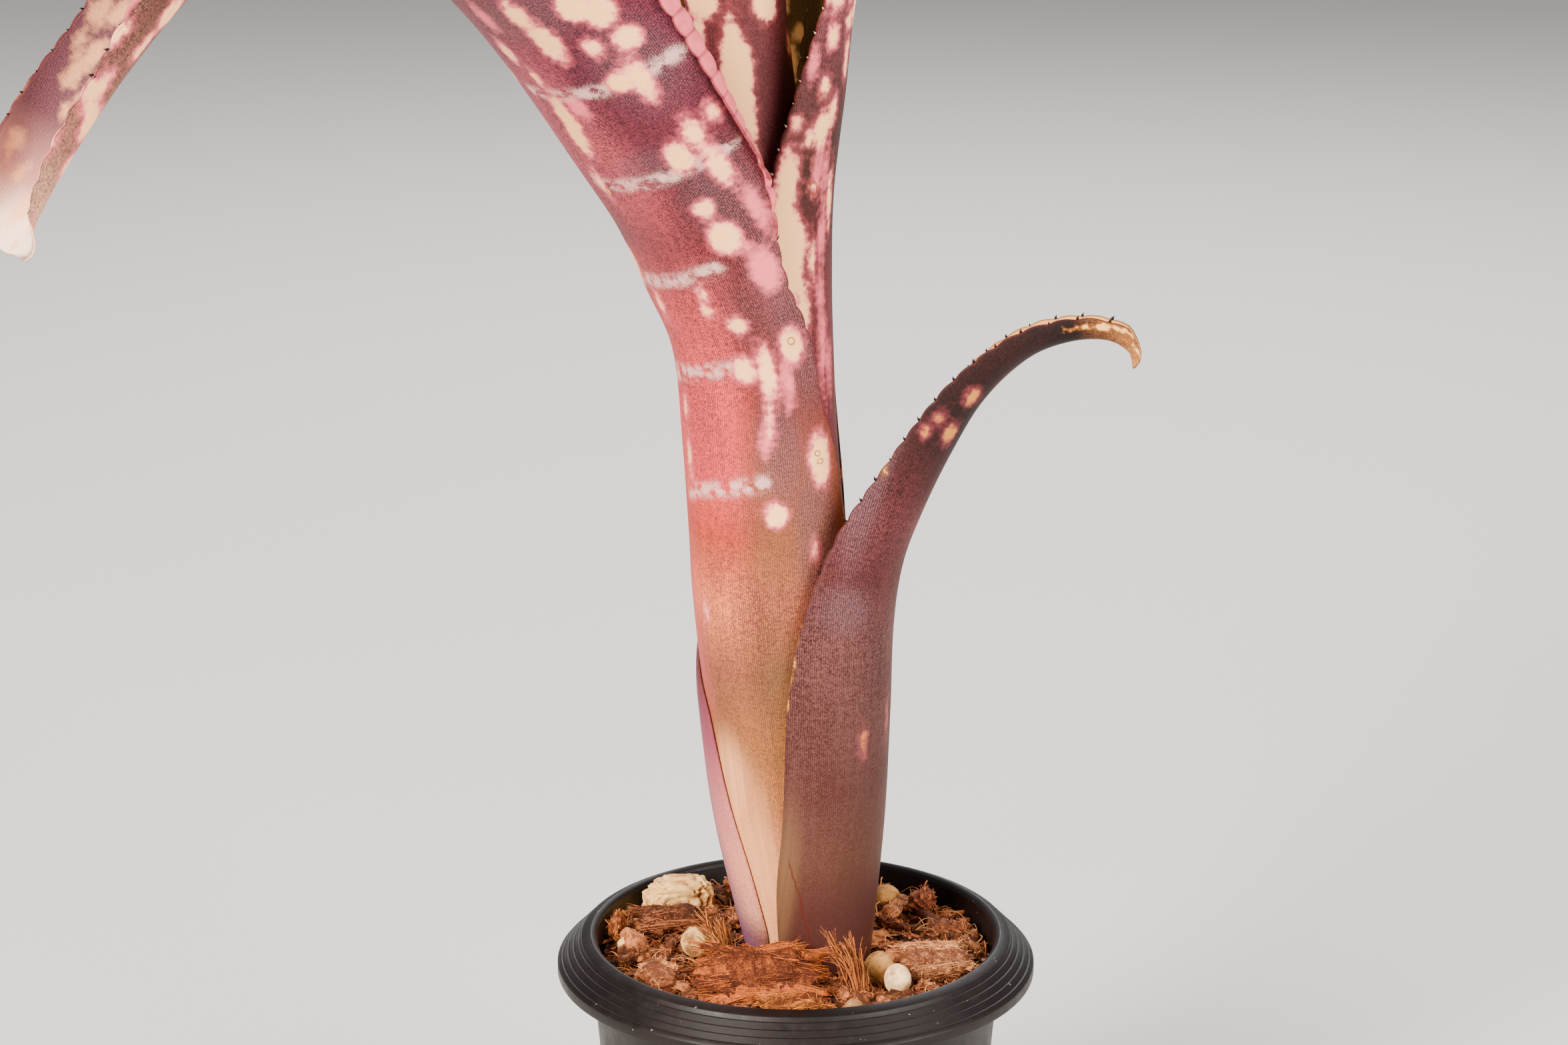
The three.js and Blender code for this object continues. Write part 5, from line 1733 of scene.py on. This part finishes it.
def loose_paths(random):
    """Curled paths over the bed, each arched a little off it and kept inside the pot."""
    count, steps = LOOSE_FIBRES, LOOSE_STEPS
    x, y = bed_places(random, count)
    length = random.uniform(*LOOSE_LENGTH, (count, 1))
    heading = random.uniform(0, TURN, (count, 1))
    curl = random.normal(0, LOOSE_WANDER, (count, steps)).cumsum(axis=1)
    curl += random.normal(0, LOOSE_CURL, (count, 1)) * np.arange(steps)
    stride = length / steps
    x = x[:, None] + (stride * np.cos(heading + curl)).cumsum(axis=1)
    y = y[:, None] + (stride * np.sin(heading + curl)).cumsum(axis=1)
    inward = np.minimum(1, (BED_EDGE - LOOSE_MARGIN) / np.hypot(x, y))
    x, y = x * inward, y * inward
    arch = random.uniform(*LOOSE_ARCH, (count, 1)) * np.sin(np.linspace(0, math.pi, steps))[None, :]
    return np.stack([x, y, mix_height(x, y) + LOOSE_RISE + arch], -1)


def make_loose_fibres():
    random = np.random.default_rng(SEED + LOOSE_SEED)
    paths = loose_paths(random)
    radii = random.uniform(*LOOSE_RADIUS, (LOOSE_FIBRES, 1)) * np.linspace(1, 0.5, LOOSE_STEPS)[None, :]
    parts = tubes(paths, radii, random.uniform(*LOOSE_TONE, LOOSE_FIBRES))
    make_husk("loose_fibres", parts, LOOSE_HUSK)


def paint_bed():
    """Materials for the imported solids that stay: the bed of mix and the stem."""
    shade = Shader("bed_husk", roughness=0.9, specular=0.15)
    place = shade.place()
    noises = [shade.noise(place, *kind) for kind in (BED_BROAD, BED_FINE)]
    tone = shade.total(*zip(noises, BED_SHARES))
    colour = shade.ramp(shade.step(tone, *BED_FADE), BED_STOPS)
    material = shade.finish(colour, shade.noise(place, *BED_RELIEF), BED_BUMP)
    repaint(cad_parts["potting_mix"], material)
    shade = Shader("stem_bark", roughness=0.85, specular=0.2)
    place = shade.place()
    colour = shade.wash(STEM_DARK, shade.noise(place, *BARK_GRAIN), BARK_FADE, STEM_LIGHT)
    material = shade.finish(colour, shade.noise(place, *BARK_RELIEF), BARK_BUMP)
    repaint(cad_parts["stem"], material)


# Studio

def make_camera():
    camera = bpy.data.objects.new("camera", bpy.data.cameras.new("camera"))
    camera.location = Vector(CAMERA_AT) * MM
    camera.rotation_euler = (math.radians(CAMERA_PITCH), 0, 0)
    camera.data.lens = LENS
    camera.data.sensor_fit = "HORIZONTAL"
    camera.data.sensor_width = SENSOR_WIDTH
    camera.data.clip_start = 0.01
    bpy.context.scene.collection.objects.link(camera)
    bpy.context.scene.camera = camera


def make_studio():
    half = FLOOR_SIZE / MM / 2
    corners = [(-half, -half, 0), (half, -half, 0), (half, half, 0), (-half, half, 0)]
    floor = make_object("floor", corners, [(0, 1, 2, 3)])
    shade = Shader("floor_paint", roughness=0.9, specular=0.1)
    floor.data.materials.append(shade.finish(FLOOR_COLOUR))
    for light in LIGHTS:
        data = bpy.data.lights.new(light["name"], "AREA")
        data.energy = light["watts"]
        data.size = light["size"]
        data.color = linear(light["colour"])[:3]
        lamp = bpy.data.objects.new(light["name"], data)
        lamp.location = light["at"]
        lamp.rotation_euler = (Vector(AIM) - Vector(light["at"])).to_track_quat("-Z", "Y").to_euler()
        bpy.context.scene.collection.objects.link(lamp)
    world = bpy.data.worlds.new("studio")
    world.use_nodes = True
    world.node_tree.nodes["Background"].inputs["Color"].default_value = linear(WORLD_COLOUR)
    world.node_tree.nodes["Background"].inputs["Strength"].default_value = WORLD_STRENGTH
    bpy.context.scene.world = world


make_camera()
make_studio()
make_leaves()
make_chips()
make_tufts()
make_stones()
make_pot()
make_flakes()
make_crumbs()
make_loose_fibres()
paint_bed()
